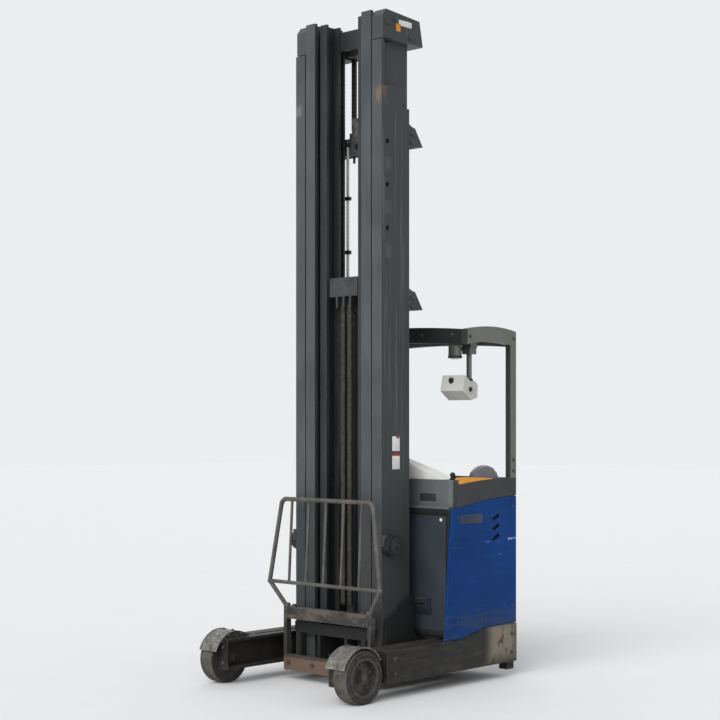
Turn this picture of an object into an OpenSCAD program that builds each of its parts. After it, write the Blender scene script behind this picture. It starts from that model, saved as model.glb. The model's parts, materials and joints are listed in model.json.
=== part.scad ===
// Reach truck with a triplex mast, parked with the mast back and lowered and the forks off.
// X points forward, Y to the truck's left and Z up. The origin lies on the floor under the middle.
// Lengths along the truck are given as s, the distance behind the load wheels' axle.

/* [Chassis] */
// Width over the two outriggers
chassis_w = 1270; // [1200:1:1320]
// Distance from the load axle back to the rear of the body
rear_reach = 1460; // [1440:1:1520]
// Underside of the outriggers
leg_z0 = 98; // [90:1:110]
// Top of the outriggers
leg_z1 = 288; // [284:1:300]
// Width of the inward roller channel of an outrigger
channel_w = 80; // [76:1:90]
// Plate thickness of the outriggers
leg_plate = 16; // [14:1:18]
// Distance from the load axle to the box behind the wheel
leg_box_s = 195; // [190:1:220]

/* [Wheels] */
// Load wheel diameter
load_wheel_d = 315; // [305:1:320]
// Load wheel width
load_wheel_w = 110; // [100:1:114]
// Load axle diameter
load_axle_d = 45; // [35:1:55]
// Drive wheel diameter
drive_wheel_d = 343; // [335:1:350]
// Drive wheel width
drive_wheel_w = 114; // [100:1:118]
// Distance of the steering axis ahead of the rear of the body
drive_rear = 232; // [228:1:245]
// Distance of the steering axis left of the middle
drive_y = 150; // [100:1:200]

/* [Mast] */
// Width over the outer rails
mast_w = 744; // [735:1:765]
// Front of the rails behind the load axle
mast_s = 436; // [432:1:450]
// Depth of the outer and middle rails
rail_depth = 258; // [245:1:262]
// Width of a rail flange
flange_w = 80; // [74:1:82]
// Thickness of a rail flange
flange_t = 25; // [20:1:27]
// Top of the outer rails
outer_top = 4000; // [3800:5:4100]
// Rise of the middle and inner rails above the outer ones
stage_rise = 190; // [180:1:220]
// Underside of the rails
rail_z0 = 85; // [80:1:95]
// Reach travel of the mast
reach_travel = 520; // [450:5:540]
// Lift of each moving mast stage
stage_lift = 3000; // [2600:10:3050]
// Free lift of the fork carriage
free_lift = 2900; // [2400:10:2950]

/* [Fork carriage] */
// Width of the fork bars
fork_bar_w = 754; // [720:2:790]
// Top of the upper fork bar
fork_bar_top = 470; // [465:1:480]
// Distance over the two fork bars
fork_bar_span = 407; // [400:1:410]
// Front face of the fork bars behind the load axle
fork_face_s = 330; // [328:1:340]
// Backrest width at its lower bar
backrest_w0 = 956; // [930:2:1000]
// Backrest width at its top bar
backrest_w1 = 786; // [760:2:840]
// Height of the backrest's lower bar
backrest_z0 = 626; // [610:1:640]
// Height of the backrest's top bar
backrest_z1 = 1155; // [1100:1:1200]
// Number of upright bars in the backrest
backrest_bars = 5; // [3:1:7]
// Diameter of the backrest's frame tube
backrest_d = 28; // [24:1:32]

/* [Body] */
// Width over the side covers
body_w = 1250; // [1240:1:1262]
// Front of the battery cover behind the load axle
body_s = 805; // [800:1:812]
// Height of the hood
hood_z = 1285; // [1270:1:1300]
// Lower lip of the hood
hood_lip_z = 1105; // [1098:1:1112]
// Top of the side cover at its front
cover_front_z = 1112; // [1100:1:1118]
// Top of the side cover at its rear
cover_rear_z = 1170; // [1160:1:1180]
// Thickness of the covers
cover_t = 14; // [10:1:16]
// Thickness of the battery along the truck
battery_t = 210; // [190:1:214]
// Height of the battery
battery_h = 760; // [700:5:765]

/* [Overhead guard] */
// Top of the overhead guard at its beams' ends
guard_z = 2232; // [2150:1:2260]
// Rise of the guard's beams in their middle
guard_bow = 24; // [8:1:30]
// Height of the guard's beams
guard_beam_h = 98; // [80:1:110]
// Thickness of the guard's beams
guard_beam_t = 45; // [36:1:50]
// Front of the guard behind the load axle
guard_s = 960; // [950:1:980]
// Width of a guard leg along the truck
guard_leg_w = 60; // [50:1:70]

/* [Hidden] */
cover_a0 = 20;
cover_r = load_wheel_d / 2 + 18;
// Front of the whole truck lies as far ahead of the origin as its rear lies behind
front_reach = cover_r * cos(cover_a0);
axle_x = (rear_reach - front_reach) / 2;
$fn = 48;
half_w = chassis_w / 2;
half_mast = mast_w / 2;
half_body = body_w / 2;
wheel_z = load_wheel_d / 2;
running_gap = 6;
roller_gap = 0.4;
fit_gap = 0.05;
seat_gap = 0.3;

// Outrigger: the wheel runs outside the roller channel
wheel_y1 = half_w;
wheel_y0 = wheel_y1 - load_wheel_w;
web_y1 = wheel_y0 - running_gap;
web_y0 = web_y1 - leg_plate;
channel_y0 = web_y1 - channel_w;
channel_z0 = leg_z0 + leg_plate;
channel_z1 = leg_z1 - leg_plate;
channel_front_s = -100;
channel_rear_s = 990;
leg_rear_s = rear_reach - 8;

// Rails, measured from the mast's middle outwards
rail_web = 20;
stage_gap = 10;
head_gap = 8;
outer_y1 = half_mast;
outer_y0 = outer_y1 - flange_w;
middle_y1 = outer_y0 - stage_gap;
middle_y0 = middle_y1 - flange_w;
middle_web_t = 15;
middle_web_y1 = middle_y1 - 28;
inner_y1 = middle_y0 - stage_gap;
inner_flange_w = 55;
inner_y0 = inner_y1 - inner_flange_w;
inner_web = 15;
inner_set = 40;
inner_depth = 134;
inner_flange_t = 20;
rail_rear_s = mast_s + rail_depth;
inner_s0 = mast_s + inner_set;
inner_s1 = inner_s0 + inner_depth;
inner_mid_s = (inner_s0 + inner_s1) / 2;
rail_mid_s = (mast_s + rail_rear_s) / 2;
rail_roller_d = rail_depth - 2 * flange_t - 2 * roller_gap;
inner_roller_d = inner_s1 - inner_s0 - 2 * inner_flange_t - 2 * roller_gap;
stage_top = outer_top + stage_rise;
lower_roller_z = rail_z0 + rail_roller_d / 2 + 20;

// Cross beams behind the rails: inner, then middle, then outer from front to rear
inner_beam_s = inner_s1;
inner_beam_t = 20;
middle_beam_s = rail_rear_s;
middle_beam_t = 20;
pipe_d = 20;
outer_beam_s = middle_beam_s + middle_beam_t + running_gap + pipe_d + seat_gap;
pipe_s = outer_beam_s - pipe_d / 2 - seat_gap;
beam_plate = 14;
beam_nose_s = 824;

// Lift cylinders stand behind the outer rails
lift_y = 300;
lift_d = 60;
lift_s = rail_rear_s + lift_d / 2 + 2;
lift_rod_d = 40;
lift_barrel_z1 = 3575;
lift_collar_h = 60;
rod_guide = 108;

// Free lift cylinder stands between the inner rails
free_s = 575;
free_d = 84;
free_rod_d = 60;
free_z0 = 190;
free_z1 = 2330;
free_guide = 200;
crosshead_z = free_z1 + 20;
yoke_s = 488;
yoke_half = 120;
yoke_h = 210;

// Chains
chain_y = 175;
chain_w = 36;
chain_t = 12;
chain_pitch = 80;
chain_s = (inner_beam_s + inner_beam_t + middle_beam_s) / 2 + 1.5;
pulley_d = 100;
rear_chain_s = chain_s + chain_t / 2 + pulley_d;
head_pulley_z = stage_top - 90;
anchor_h = 40;
anchor_half = 28;

free_chain_y = 29;
free_chain_w = 32;

// Wheels and their covers
axle_inset = 14;
tyre_bore_r = 112;
hub_dish = 34;
cover_a1 = 150;
cover_plate = 6;
cover_y0 = web_y1 - 40;
cover_y1 = wheel_y1 - 10;
cover_lap = 20;

// Outrigger details
end_plate = 10;
skirt_s0 = 890;
skirt_s1 = 1145;
skirt_z = 338;
skirt_t = half_w - half_body + 14;
foot_l = 70;
foot_w = 90;
foot_z = 45;

// Body details
floor_z = leg_z1 + 20;
floor_s0 = body_s + 10;
floor_s1 = rear_reach - 20;
side_s = 738;
skirt_z0 = leg_z1 + 4;
panel_gap = 3;
band_s = 858;
band_t = 28;
corner_l = 65;
entry_s = 1046;
entry_z = 372;
battery_s = body_s + cover_t + 4;
battery_half = half_body - cover_t - 6;
front_half = half_body - cover_t - seat_gap;
rim_w = 22;
rim_h = 10;
latch_h = 58;
latch_y = front_half - 195;
latch_z = 445;
hood_s = 834;
hood_half = half_body - band_t - seat_gap;
trim_s1 = rear_reach - 230;
trim_h = 15;
vent_s = rear_reach - 210;
vent_z = 1038;
vent_pitch = 64;
vent_w = 74;
vent_h = 26;
vent_slant = 24;

// Operator's place
seat_s = [rear_reach - 400, rear_reach - 20];
seat_y = [-30, half_body - 31];
seat_z = 740;
back_s = rear_reach - 245;
back_y = [half_body - 115, half_body - 37];
back_r = 150;
back_z = 1382;
console_s = [866, 990];
console_y = [60, hood_half - 97];
console_h = 112;
lever_s = 885;
lever_y = hood_half - 31;
steer_s = 930;
steer_y = -180;
steer_r = 118;

// Overhead guard details
guard_y = half_body - guard_beam_t;
guard_bar_pitch = 200;
leg_t = 40;
front_leg_y = [0, -540];
pole_s = guard_s + 110;
pole_y = guard_y - 32;
pole_z0 = 1905;
arm_half = 34;
pole_z1 = bow_z(pole_s - arm_half, guard_s, rear_reach) - guard_beam_h - seat_gap;
lamp_s = guard_s + 40;
lamp_y = pole_y - 58;
lamp_d = 84;

// Mast details
web_drop = 280;
flange_drop = 400;
hole_s = 493;
hole_z = 3377;
hole_pitch = 268;
hole_d = 36;
beam_z = [3378, 2352];
beam_h = 112;
middle_beam_half = 262;
skirt_drop = 368;
head_skirt_y = lift_y + lift_rod_d / 2 + 4;
inner_beam_z = [[115, 190], [4030, 4150]];
foot_s = 781;
gusset_t = 18;
roller_stop_s = 40;
front_roller_s = reach_travel + roller_stop_s;
rear_roller_s = 880;
roller_y0 = channel_y0 + 8;
roller_y1 = web_y0 - running_gap;
cap_s = 505;
cap_z = 884;
cap_d = 130;
cap_h = 60;
pipe_y = -190;
reach_beam_z1 = channel_z1 - 10;
hose_y = [-238, -214, 190, 214];

// Fork carriage details
carriage_s = 385;
plate_t = 22;
plate_y0 = inner_y0 - 32;
carriage_roller_z = [168, 372];
lug_y0 = 268;
tilt_s = 390;
tilt_z = 115;
tilt_d = 30;
backrest_s = fork_face_s - 26;
backrest_foot_s = fork_face_s + 14;
backrest_lean = 3.2;
bend_r = 45;
backrest_pitch = 0.385 * backrest_w1 / (backrest_bars - 1) * 2;
bend_lap = 3;
bend_proud = 1.6;

// Drive unit
drive_s = rear_reach - drive_rear;
drive_x = axle_x - drive_s;
motor_d = 190;
motor_h = 240;
drive_axle_z = drive_wheel_d / 2;
drive_axle_d = 60;
drive_bore_r = 118;
drive_head_z0 = drive_wheel_d + 10;
well_r = 146;
well_top_z = 415;
well_lid = 15;
spindle_d = 120;
turntable_d = 200;
arm_gap = 8;
arm_w = 124;
arm_t = 40;

function sx(s) = axle_x - s;

// Two places at equal distances on either side of one, and a pair of places moved by a distance
function around(c, h) = [c - h, c + h];
function moved(c, v) = [c + v[0], c + v[1]];

// A block between two places along the truck, across it and in height
module block(s, y, z) {
    translate([sx(s[1]), y[0], z[0]]) cube([s[1] - s[0], y[1] - y[0], z[1] - z[0]]);
}

// A plate standing along the truck: an outline of [s, z] points between two places across
module side_plate(points, y) {
    translate([0, y[1], 0]) rotate([90, 0, 0]) linear_extrude(y[1] - y[0])
        polygon([for (p = points) [sx(p[0]), p[1]]]);
}

// A bar across the truck with an outline of [s, z] points
module cross_bar(points, half) { side_plate(points, [-half, half]); }

// A round rod across the truck
module rod_y(s, z, d, y) {
    translate([sx(s), y[0], z]) rotate([-90, 0, 0]) cylinder(d = d, h = y[1] - y[0]);
}

// A round post
module post(s, y, d, z) { translate([sx(s), y, z[0]]) cylinder(d = d, h = z[1] - z[0]); }

// A round tube between two points
module tube(a, b, d) {
    v = b - a;
    h = norm(v);
    translate(a) rotate([0, acos(v[2] / h), atan2(v[1], v[0])]) cylinder(d = d, h = h);
}

module both_sides() {
    children();
    mirror([0, 1, 0]) children();
}

// A plan outline with rounded corners
module round_plan(s, y, r) {
    x0 = sx(s[1]);
    x1 = sx(s[0]);
    translate([x0 + r, y[0]]) square([x1 - x0 - 2 * r, y[1] - y[0]]);
    translate([x0, y[0] + r]) square([x1 - x0, y[1] - y[0] - 2 * r]);
    for (x = [x0 + r, x1 - r], v = [y[0] + r, y[1] - r]) translate([x, v]) circle(r);
}

// Outrigger of the left side: roller channel open inwards, box behind the wheel and rising skirt
module outrigger() {
    difference() {
        union() {
            block([channel_front_s, channel_rear_s], [web_y0, web_y1], [leg_z0, leg_z1]);
            for (z = [leg_z0, channel_z1])
                block([channel_front_s, channel_rear_s], [channel_y0, web_y1], [z, z + leg_plate]);
            block([channel_front_s, channel_front_s + end_plate], [channel_y0, web_y1], [leg_z0, leg_z1]);
            block([leg_box_s, leg_rear_s], [web_y1, half_w], [leg_z0, leg_z1]);
            side_plate([[skirt_s0, leg_z1], [leg_rear_s, leg_z1], [leg_rear_s, skirt_z + 6],
                [skirt_s1, skirt_z]],
                [half_w - skirt_t, half_w]);
            block([leg_rear_s - foot_l, leg_rear_s], [half_w - foot_w, half_w - skirt_t], [foot_z, leg_z0]);
        }
        rod_y(0, wheel_z, load_axle_d + 2 * fit_gap, [web_y0 - 1, web_y1 + 1]);
    }
}

module outrigger_left() { color("#3c3f42") outrigger(); }

module outrigger_right() { color("#3c3f42") mirror([0, 1, 0]) outrigger(); }

// Stub axles of the load wheels, pressed into the channel webs
module load_axles() {
    color("#77787a") both_sides() {
        rod_y(0, wheel_z, load_axle_d, [web_y0, wheel_y1 - axle_inset]);
        rod_y(0, wheel_z, load_axle_d + 24, [web_y1, wheel_y0 - seat_gap]);
    }
}

// Arched covers over the load wheels, each with a side plate on the roller channel
module wheel_covers() {
    y0 = cover_y0 - cover_plate;
    color("#a9a9a4") both_sides() difference() {
        union() {
            translate([sx(0), y0, wheel_z]) rotate([-90, 0, 0]) rotate([0, 0, -cover_a1])
                rotate_extrude(angle = cover_a1 - cover_a0, $fn = 72)
                    translate([cover_r - cover_plate, 0]) square([cover_plate, cover_y1 - y0]);
            intersection() {
                rod_y(0, wheel_z, 2 * cover_r - cover_plate, [y0, cover_y0]);
                block([-cover_r, cover_r], [y0, cover_y0], [leg_z1 - cover_lap, leg_z1 + cover_r]);
            }
        }
        block([channel_front_s, 2 * cover_r], [y0 - 1, web_y1 + seat_gap], [0, leg_z1]);
    }
}

// Tyre of a load wheel with rounded shoulders, about its own axis
module load_tyre(y) {
    color("#8a8178") translate([sx(0), y, wheel_z]) rotate([-90, 0, 0]) rotate_extrude($fn = 72)
        polygon([[tyre_bore_r, 0], [wheel_z - 10, 0], [wheel_z - 3, 3], [wheel_z, 10],
            [wheel_z, load_wheel_w - 10],
            [wheel_z - 3, load_wheel_w - 3], [wheel_z - 10, load_wheel_w], [tyre_bore_r, load_wheel_w]]);
}

// Hub of a load wheel: dished towards the outside, bored for its axle
module load_hub() {
    bore = load_axle_d / 2 + fit_gap;
    nut_y = load_wheel_w - axle_inset - 4;
    dish_y = load_wheel_w - hub_dish;
    color("#6f7072") translate([sx(0), wheel_y0, wheel_z]) rotate([-90, 0, 0]) rotate_extrude($fn = 72)
        polygon([[bore, 0], [tyre_bore_r, 0], [tyre_bore_r, load_wheel_w], [tyre_bore_r - 9, load_wheel_w],
            [tyre_bore_r - 16, dish_y], [bore + 18, dish_y], [bore + 15, nut_y], [bore, nut_y]]);
}

module load_tyre_left() { load_tyre(wheel_y0); }

module load_tyre_right() { load_tyre(-wheel_y1); }

module load_hub_left() { load_hub(); }

module load_hub_right() { mirror([0, 1, 0]) load_hub(); }

// Floor of the body: plate on the outriggers, cross beams and the round well of the drive wheel
module base_frame() {
    color("#3c3f42") difference() {
        union() {
            block([floor_s0, floor_s1], [-web_y1, web_y1], [leg_z1, floor_z]);
            block([channel_rear_s, channel_rear_s + 40], [-web_y1, web_y1], [leg_z0 + 12, leg_z1]);
            block([floor_s1 - 20, floor_s1], [-web_y1, web_y1], [leg_z0, leg_z1]);
            translate([drive_x, drive_y, floor_z])
                cylinder(r = well_r + 8, h = well_top_z - floor_z, $fn = 72);
        }
        translate([drive_x, drive_y, leg_z1 - 1])
            cylinder(r = well_r, h = well_top_z - well_lid - leg_z1 + 1, $fn = 72);
        translate([drive_x, drive_y, leg_z1]) cylinder(d = spindle_d + 2 * fit_gap, h = well_top_z);
    }
}

// Steered fork of the drive wheel: spindle, turntable and gear arm on one side of the wheel
module drive_fork() {
    arm_y = drive_y + drive_wheel_w / 2 + arm_gap;
    head_z1 = well_top_z - well_lid - running_gap;
    color("#2e3033") {
        difference() {
            union() {
                translate([drive_x, drive_y, drive_head_z0])
                    cylinder(d = turntable_d, h = head_z1 - drive_head_z0);
                translate([drive_x, drive_y, drive_head_z0])
                    cylinder(d = spindle_d, h = well_top_z + seat_gap - drive_head_z0);
                translate([drive_x - arm_w / 2, arm_y, drive_axle_z])
                    cube([arm_w, arm_t, drive_head_z0 + 20 - drive_axle_z]);
                rod_y(drive_s, drive_axle_z, arm_w, [arm_y, arm_y + arm_t]);
            }
            rod_y(drive_s, drive_axle_z, drive_wheel_d + 2 * running_gap,
                [drive_y - turntable_d, arm_y - 0.5]);
        }
        rod_y(drive_s, drive_axle_z, drive_axle_d, [drive_y - drive_wheel_w / 2 + 12, arm_y + 12]);
    }
}

// Traction motor, turning with the drive fork under the seat
module drive_motor() {
    color("#2e3033") translate([drive_x, drive_y, well_top_z + seat_gap])
        cylinder(d = motor_d, h = motor_h);
}

module drive_tyre() {
    color("#26241f") translate([drive_x, drive_y - drive_wheel_w / 2, drive_axle_z]) rotate([-90, 0, 0])
        rotate_extrude($fn = 72)
            polygon([[drive_bore_r, 0], [drive_axle_z - 12, 0], [drive_axle_z, 12],
                [drive_axle_z, drive_wheel_w - 12],
                [drive_axle_z - 12, drive_wheel_w], [drive_bore_r, drive_wheel_w]]);
}

module drive_hub() {
    color("#55575a") translate([drive_x, drive_y - drive_wheel_w / 2, drive_axle_z]) rotate([-90, 0, 0])
        rotate_extrude($fn = 72)
            polygon([[drive_axle_d / 2 + fit_gap, 8], [drive_axle_d / 2 + 30, 8],
                [drive_bore_r - 20, 24], [drive_bore_r - 12, 0],
                [drive_bore_r, 0], [drive_bore_r, drive_wheel_w],
                    [drive_axle_d / 2 + fit_gap, drive_wheel_w]]);
}

// Traction battery behind the front cover
module battery() {
    color("#34373a") block([battery_s, battery_s + battery_t], [-battery_half, battery_half],
        [floor_z, floor_z + battery_h]);
}

// Front cover of the battery with a folded rim and a latch box
module front_cover() {
    color("#4a5058") difference() {
        union() {
            block([body_s, body_s + cover_t], [-front_half, front_half], [floor_z, hood_lip_z - seat_gap]);
            for (y = [-front_half, front_half - rim_w])
                block([body_s - rim_h, body_s], [y, y + rim_w], [floor_z, hood_lip_z - seat_gap]);
            block([body_s - latch_h, body_s], around(latch_y, 45), [latch_z, latch_z + 100]);
        }
        side_plate([[body_s - latch_h - 1, latch_z - 1], [body_s - latch_h - 1, latch_z + 55],
            [body_s - 12, latch_z - 1]],
            around(latch_y, 60));
    }
}

// Outline of the side cover's top edge, rising in a quarter wave towards the rear
function cover_top(s) = cover_front_z
    + (cover_rear_z - cover_front_z) * sin(90 * (s - band_s) / (rear_reach - band_s));

// Blue cover of the closed left side with a rounded front corner and slanted vent slots
module side_cover_left() {
    top = [for (i = [0:8]) let (s = rear_reach - (rear_reach - band_s) * i / 8) [s,
        cover_top(s) - panel_gap]];
    corner = [for (a = [0:15:75]) [band_s - 22 - 30 * sin(a),
        cover_front_z - panel_gap - 30 + 30 * cos(a)]];
    color("#123e78") difference() {
        side_plate(concat([[side_s, skirt_z0], [skirt_s0, skirt_z0], [skirt_s1, skirt_z + panel_gap],
            [rear_reach, skirt_z + 6 + panel_gap]], top, corner), [half_body - cover_t, half_body]);
        for (i = [0:2]) translate([sx(vent_s), half_body + 1, vent_z - i * vent_pitch]) rotate([90, 0, 0])
            linear_extrude(cover_t + 2) rotate(-vent_slant) square([vent_w, vent_h], center = true);
    }
}

// Cover of the right side: tall beside the battery, low at the entry
module side_cover_right() {
    color("#123e78") mirror([0, 1, 0])
        side_plate([[side_s, skirt_z0], [skirt_s0, skirt_z0], [skirt_s1, skirt_z + panel_gap],
            [rear_reach - corner_l - panel_gap, skirt_z + panel_gap + 5],
                [rear_reach - corner_l - panel_gap, entry_z],
            [entry_s + 60, entry_z], [entry_s, entry_z + 80], [entry_s, hood_lip_z - panel_gap],
                [side_s + 60, hood_lip_z - panel_gap],
            [side_s + 35, hood_lip_z - 25]], [half_body - cover_t, half_body]);
}

// Blue cover across the rear
module rear_cover() {
    color("#123e78") block([rear_reach - cover_t, rear_reach],
        [-half_body + band_t + seat_gap, half_body - cover_t],
        [leg_z1, cover_rear_z - seat_gap]);
}

// Grey hood over the battery with a lip over the front cover
module hood() {
    color("#5d6061") difference() {
        union() {
            linear_extrude_from(hood_lip_z + 14, hood_z)
                round_plan([hood_s, entry_s], [-hood_half, hood_half], 24);
            linear_extrude_from(hood_lip_z, hood_lip_z + 14)
                round_plan([body_s - 8, entry_s], [-hood_half, hood_half], 10);
        }
        block([hood_s + cover_t, entry_s - cover_t], [-hood_half + cover_t, hood_half - cover_t],
            [hood_lip_z - 1, hood_z - cover_t]);
    }
}

module linear_extrude_from(z0, z1) { translate([0, 0, z0]) linear_extrude(z1 - z0) children(); }

// Dark upper band: left side, rear and the corner post of the entry
module upper_band() {
    low = [for (i = [0:8]) let (s = band_s + (rear_reach - band_s) * i / 8) [s, cover_top(s)]];
    color("#45474a") {
        side_plate(concat(low, [[rear_reach, hood_z], [band_s + 12, hood_z], [band_s, hood_z - 12]]),
            [half_body - band_t, half_body]);
        block([rear_reach - band_t, rear_reach], [-half_body + band_t, half_body - band_t],
            [cover_rear_z, hood_z]);
        block([rear_reach - corner_l, rear_reach], [-half_body, -half_body + band_t],
            [skirt_z + 8, hood_z]);
    }
}

// Yellow trim along the top of the left band
module side_trim() {
    color("#e0982c") side_plate([[band_s + 14, hood_z], [trim_s1, hood_z], [trim_s1 - 60, hood_z + 5],
        [band_s + 110, hood_z + trim_h],
        [band_s + 30, hood_z + trim_h - 1], [band_s + 14, hood_z + trim_h - 6]],
            [half_body - band_t, half_body - 4]);
}

// Seat base: a box over the drive unit
module seat_base() {
    color("#3a3c3e") difference() {
        block(seat_s, seat_y, [floor_z, seat_z]);
        block(seat_s + [12, -12], seat_y + [12, -12], [floor_z - 1, seat_z - 12]);
    }
}

module seat_cushion() {
    color("#2b2c2e") linear_extrude_from(seat_z + seat_gap, seat_z + 95)
        round_plan(seat_s + [8, -8], [seat_y[0] + 150, back_y[0] - 4], 45);
}

// Backrest with a domed top
module seat_backrest() {
    color("#4c4e54") translate([0, back_y[1], 0]) rotate([90, 0, 0]) linear_extrude(back_y[1] - back_y[0]) {
        translate([sx(back_s) - back_r, seat_z + seat_gap]) square([2 * back_r, back_z - back_r - seat_z]);
        translate([sx(back_s), back_z - back_r]) circle(back_r);
    }
}

// Pale console on the hood, sloping down to the left
module console() {
    color("#b9bbba") translate([sx(console_s[1]), 0, 0]) rotate([90, 0, 90])
        linear_extrude(console_s[1] - console_s[0])
        polygon([[console_y[1], hood_z], [console_y[0] + 90, hood_z + console_h],
            [console_y[0] + 20, hood_z + console_h],
            [console_y[0], hood_z + console_h - 30], [console_y[0], hood_z]]);
}

// Control lever with a ball knob
module control_lever() {
    color("#303235") {
        post(lever_s, lever_y, 10, [hood_z, hood_z + 24]);
        translate([sx(lever_s), lever_y, hood_z + 30]) sphere(d = 34);
    }
}

// Steering wheel on its short column
module steering_wheel() {
    color("#232426") {
        post(steer_s, steer_y, 56, [hood_z, hood_z + 60]);
        translate([sx(steer_s), steer_y, hood_z + 52]) {
            rotate_extrude($fn = 64) translate([steer_r, 0]) circle(13, $fn = 24);
            for (a = [90, 210, 330]) rotate(a) translate([0, -11, -6]) cube([steer_r, 22, 12]);
            translate([steer_r, 0, 0]) cylinder(d = 26, h = 52);
        }
    }
}

// A plate standing across the truck: an outline of [y, z] points between two places along it
module cross_plate(points, s) {
    translate([sx(s[1]), 0, 0]) rotate([90, 0, 90]) linear_extrude(s[1] - s[0]) polygon(points);
}

// Height of a bowed beam's top between its ends v0 and v1
function bow_z(v, v0, v1) = guard_z + guard_bow * (1 - pow((2 * v - v0 - v1) / (v1 - v0), 2));

function bow_outline(v0, v1, h) = let (n = 10, at = [for (i = [0:n]) v0 + (v1 - v0) * i / n])
    concat([for (v = at) [v, bow_z(v, v0, v1)]], [for (i = [n:-1:0]) [at[i], bow_z(at[i], v0, v1) - h]]);

// Side and rear beams of the overhead guard
module guard_frame() {
    color("#6e706c") {
        both_sides() side_plate(bow_outline(guard_s, rear_reach, guard_beam_h), [guard_y, half_body]);
        cross_plate(bow_outline(-guard_y, guard_y, guard_beam_h), [rear_reach - guard_beam_t, rear_reach]);
    }
}

// Front beam of the overhead guard and the bars over the operator
module guard_grille() {
    color("#26282a") {
        cross_plate(bow_outline(-guard_y, guard_y, guard_beam_h), [guard_s, guard_s + guard_beam_t]);
        for (i = [-2:2]) let (y = i * guard_bar_pitch)
            block([guard_s + guard_beam_t, rear_reach - guard_beam_t], around(y, 15),
                moved(bow_z(y, -guard_y, guard_y), [-32, -8]));
    }
}

// Legs of the overhead guard: two at the rear corners, two behind the mast
module guard_legs() {
    rear_s = [rear_reach - guard_leg_w, rear_reach];
    color("#55585a") {
        both_sides() side_plate([[rear_s[0], hood_z], [rear_s[1], hood_z],
            [rear_s[1], bow_z(rear_s[1], guard_s, rear_reach) - guard_beam_h - seat_gap],
            [rear_s[0], bow_z(rear_s[0], guard_s, rear_reach) - guard_beam_h - seat_gap]],
                [half_body - leg_t, half_body]);
        for (y = front_leg_y) block([guard_s, guard_s + guard_beam_t], around(y, leg_t / 2),
            [hood_z, bow_z(abs(y) + leg_t / 2, -guard_y, guard_y) - guard_beam_h - seat_gap]);
    }
}

// Bracket under the guard with a round lamp and the pole of the display
module display_arm() {
    color("#4d5052") {
        block(around(pole_s, arm_half), [pole_y - 30, guard_y], [pole_z1 - 70, pole_z1]);
        block(around(pole_s, arm_half), [guard_y, guard_y + 8], [pole_z1 - 30, pole_z1]);
        post(pole_s, pole_y, 34, [pole_z0, pole_z1 - 70]);
        block([lamp_s, pole_s - arm_half], around(lamp_y, 14), [pole_z1 - 50, pole_z1 - 20]);
        block([lamp_s, pole_s - arm_half], [lamp_y - 14, pole_y - 30], [pole_z1 - 50, pole_z1 - 20]);
        post(lamp_s, lamp_y, lamp_d, [pole_z1 - 95, pole_z1 - 16]);
    }
}

// Pale display housing with a sloped hood
module display() {
    color("#cfd0ca") difference() {
        side_plate([[pole_s - 105, pole_z0 - 62], [pole_s - 20, pole_z0 - 120],
            [pole_s + 42, pole_z0 - 104],
            [pole_s + 46, pole_z0 - 22], [pole_s + 20, pole_z0], [pole_s - 30, pole_z0],
                [pole_s - 82, pole_z0 + 38]],
            [pole_y - 150, pole_y + 34]);
        post(pole_s, pole_y, 35, [pole_z0 - 1, pole_z0 + 60]);
    }
}

// Plan of a rail open towards the middle
module channel_plan(s, y, web, flange) {
    difference() {
        translate([sx(s[1]), y[0]]) square([s[1] - s[0], y[1] - y[0]]);
        translate([sx(s[1]) + flange, y[0] - 1]) square([s[1] - s[0] - 2 * flange, y[1] - y[0] - web + 1]);
    }
}

// Outer rails: flanged channels, the web and rear flange cut down at the top, three holes in each web
module mast_outer_rails() {
    color("#3f4345") both_sides() difference() {
        linear_extrude_from(rail_z0, outer_top)
            channel_plan([mast_s, rail_rear_s], [outer_y0, outer_y1], rail_web, flange_t);
        block([mast_s + flange_t, rail_rear_s + 1], [outer_y0 - 1, outer_y1 + 1],
            [outer_top - web_drop, outer_top + 1]);
        block([rail_rear_s - flange_t - 30, rail_rear_s + 1], [outer_y0 - 1, outer_y1 + 1],
            [outer_top - flange_drop, outer_top + 1]);
        for (i = [0:2]) rod_y(hole_s, hole_z - i * hole_pitch, hole_d,
            [outer_y1 - rail_web - 1, outer_y1 + 1]);
    }
}

// Cross beams behind the outer rails: folded plates with a sloped nose, notched for the lift cylinders,
// the upper one with the anchors of the mast chains
module mast_outer_beams() {
    color("#3f4345") difference() {
        for (z = beam_z) {
            cross_bar([[outer_beam_s, z], [outer_beam_s + beam_plate, z],
                [outer_beam_s + beam_plate, z + beam_h - 45],
                [beam_nose_s - 26, z], [beam_nose_s, z], [beam_nose_s - 75, z + beam_h],
                    [outer_beam_s, z + beam_h]],
                outer_y1 - beam_plate);
            both_sides() side_plate([[rail_rear_s, z - 12], [beam_nose_s, z],
                [beam_nose_s - 75, z + beam_h],
                [beam_nose_s - 92, z + beam_h], [rail_rear_s, z + beam_h + 18]],
                    [outer_y1 - beam_plate, outer_y1]);
        }
        both_sides() post(lift_s, lift_y, lift_d + 2 * seat_gap, [rail_z0, outer_top]);
    }
    color("#3f4345") both_sides() block(moved(rear_chain_s, [-10, chain_t + 10]),
        around(chain_y, anchor_half),
        moved(beam_z[0] + beam_h, [-72, anchor_h - seat_gap]));
}

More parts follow.
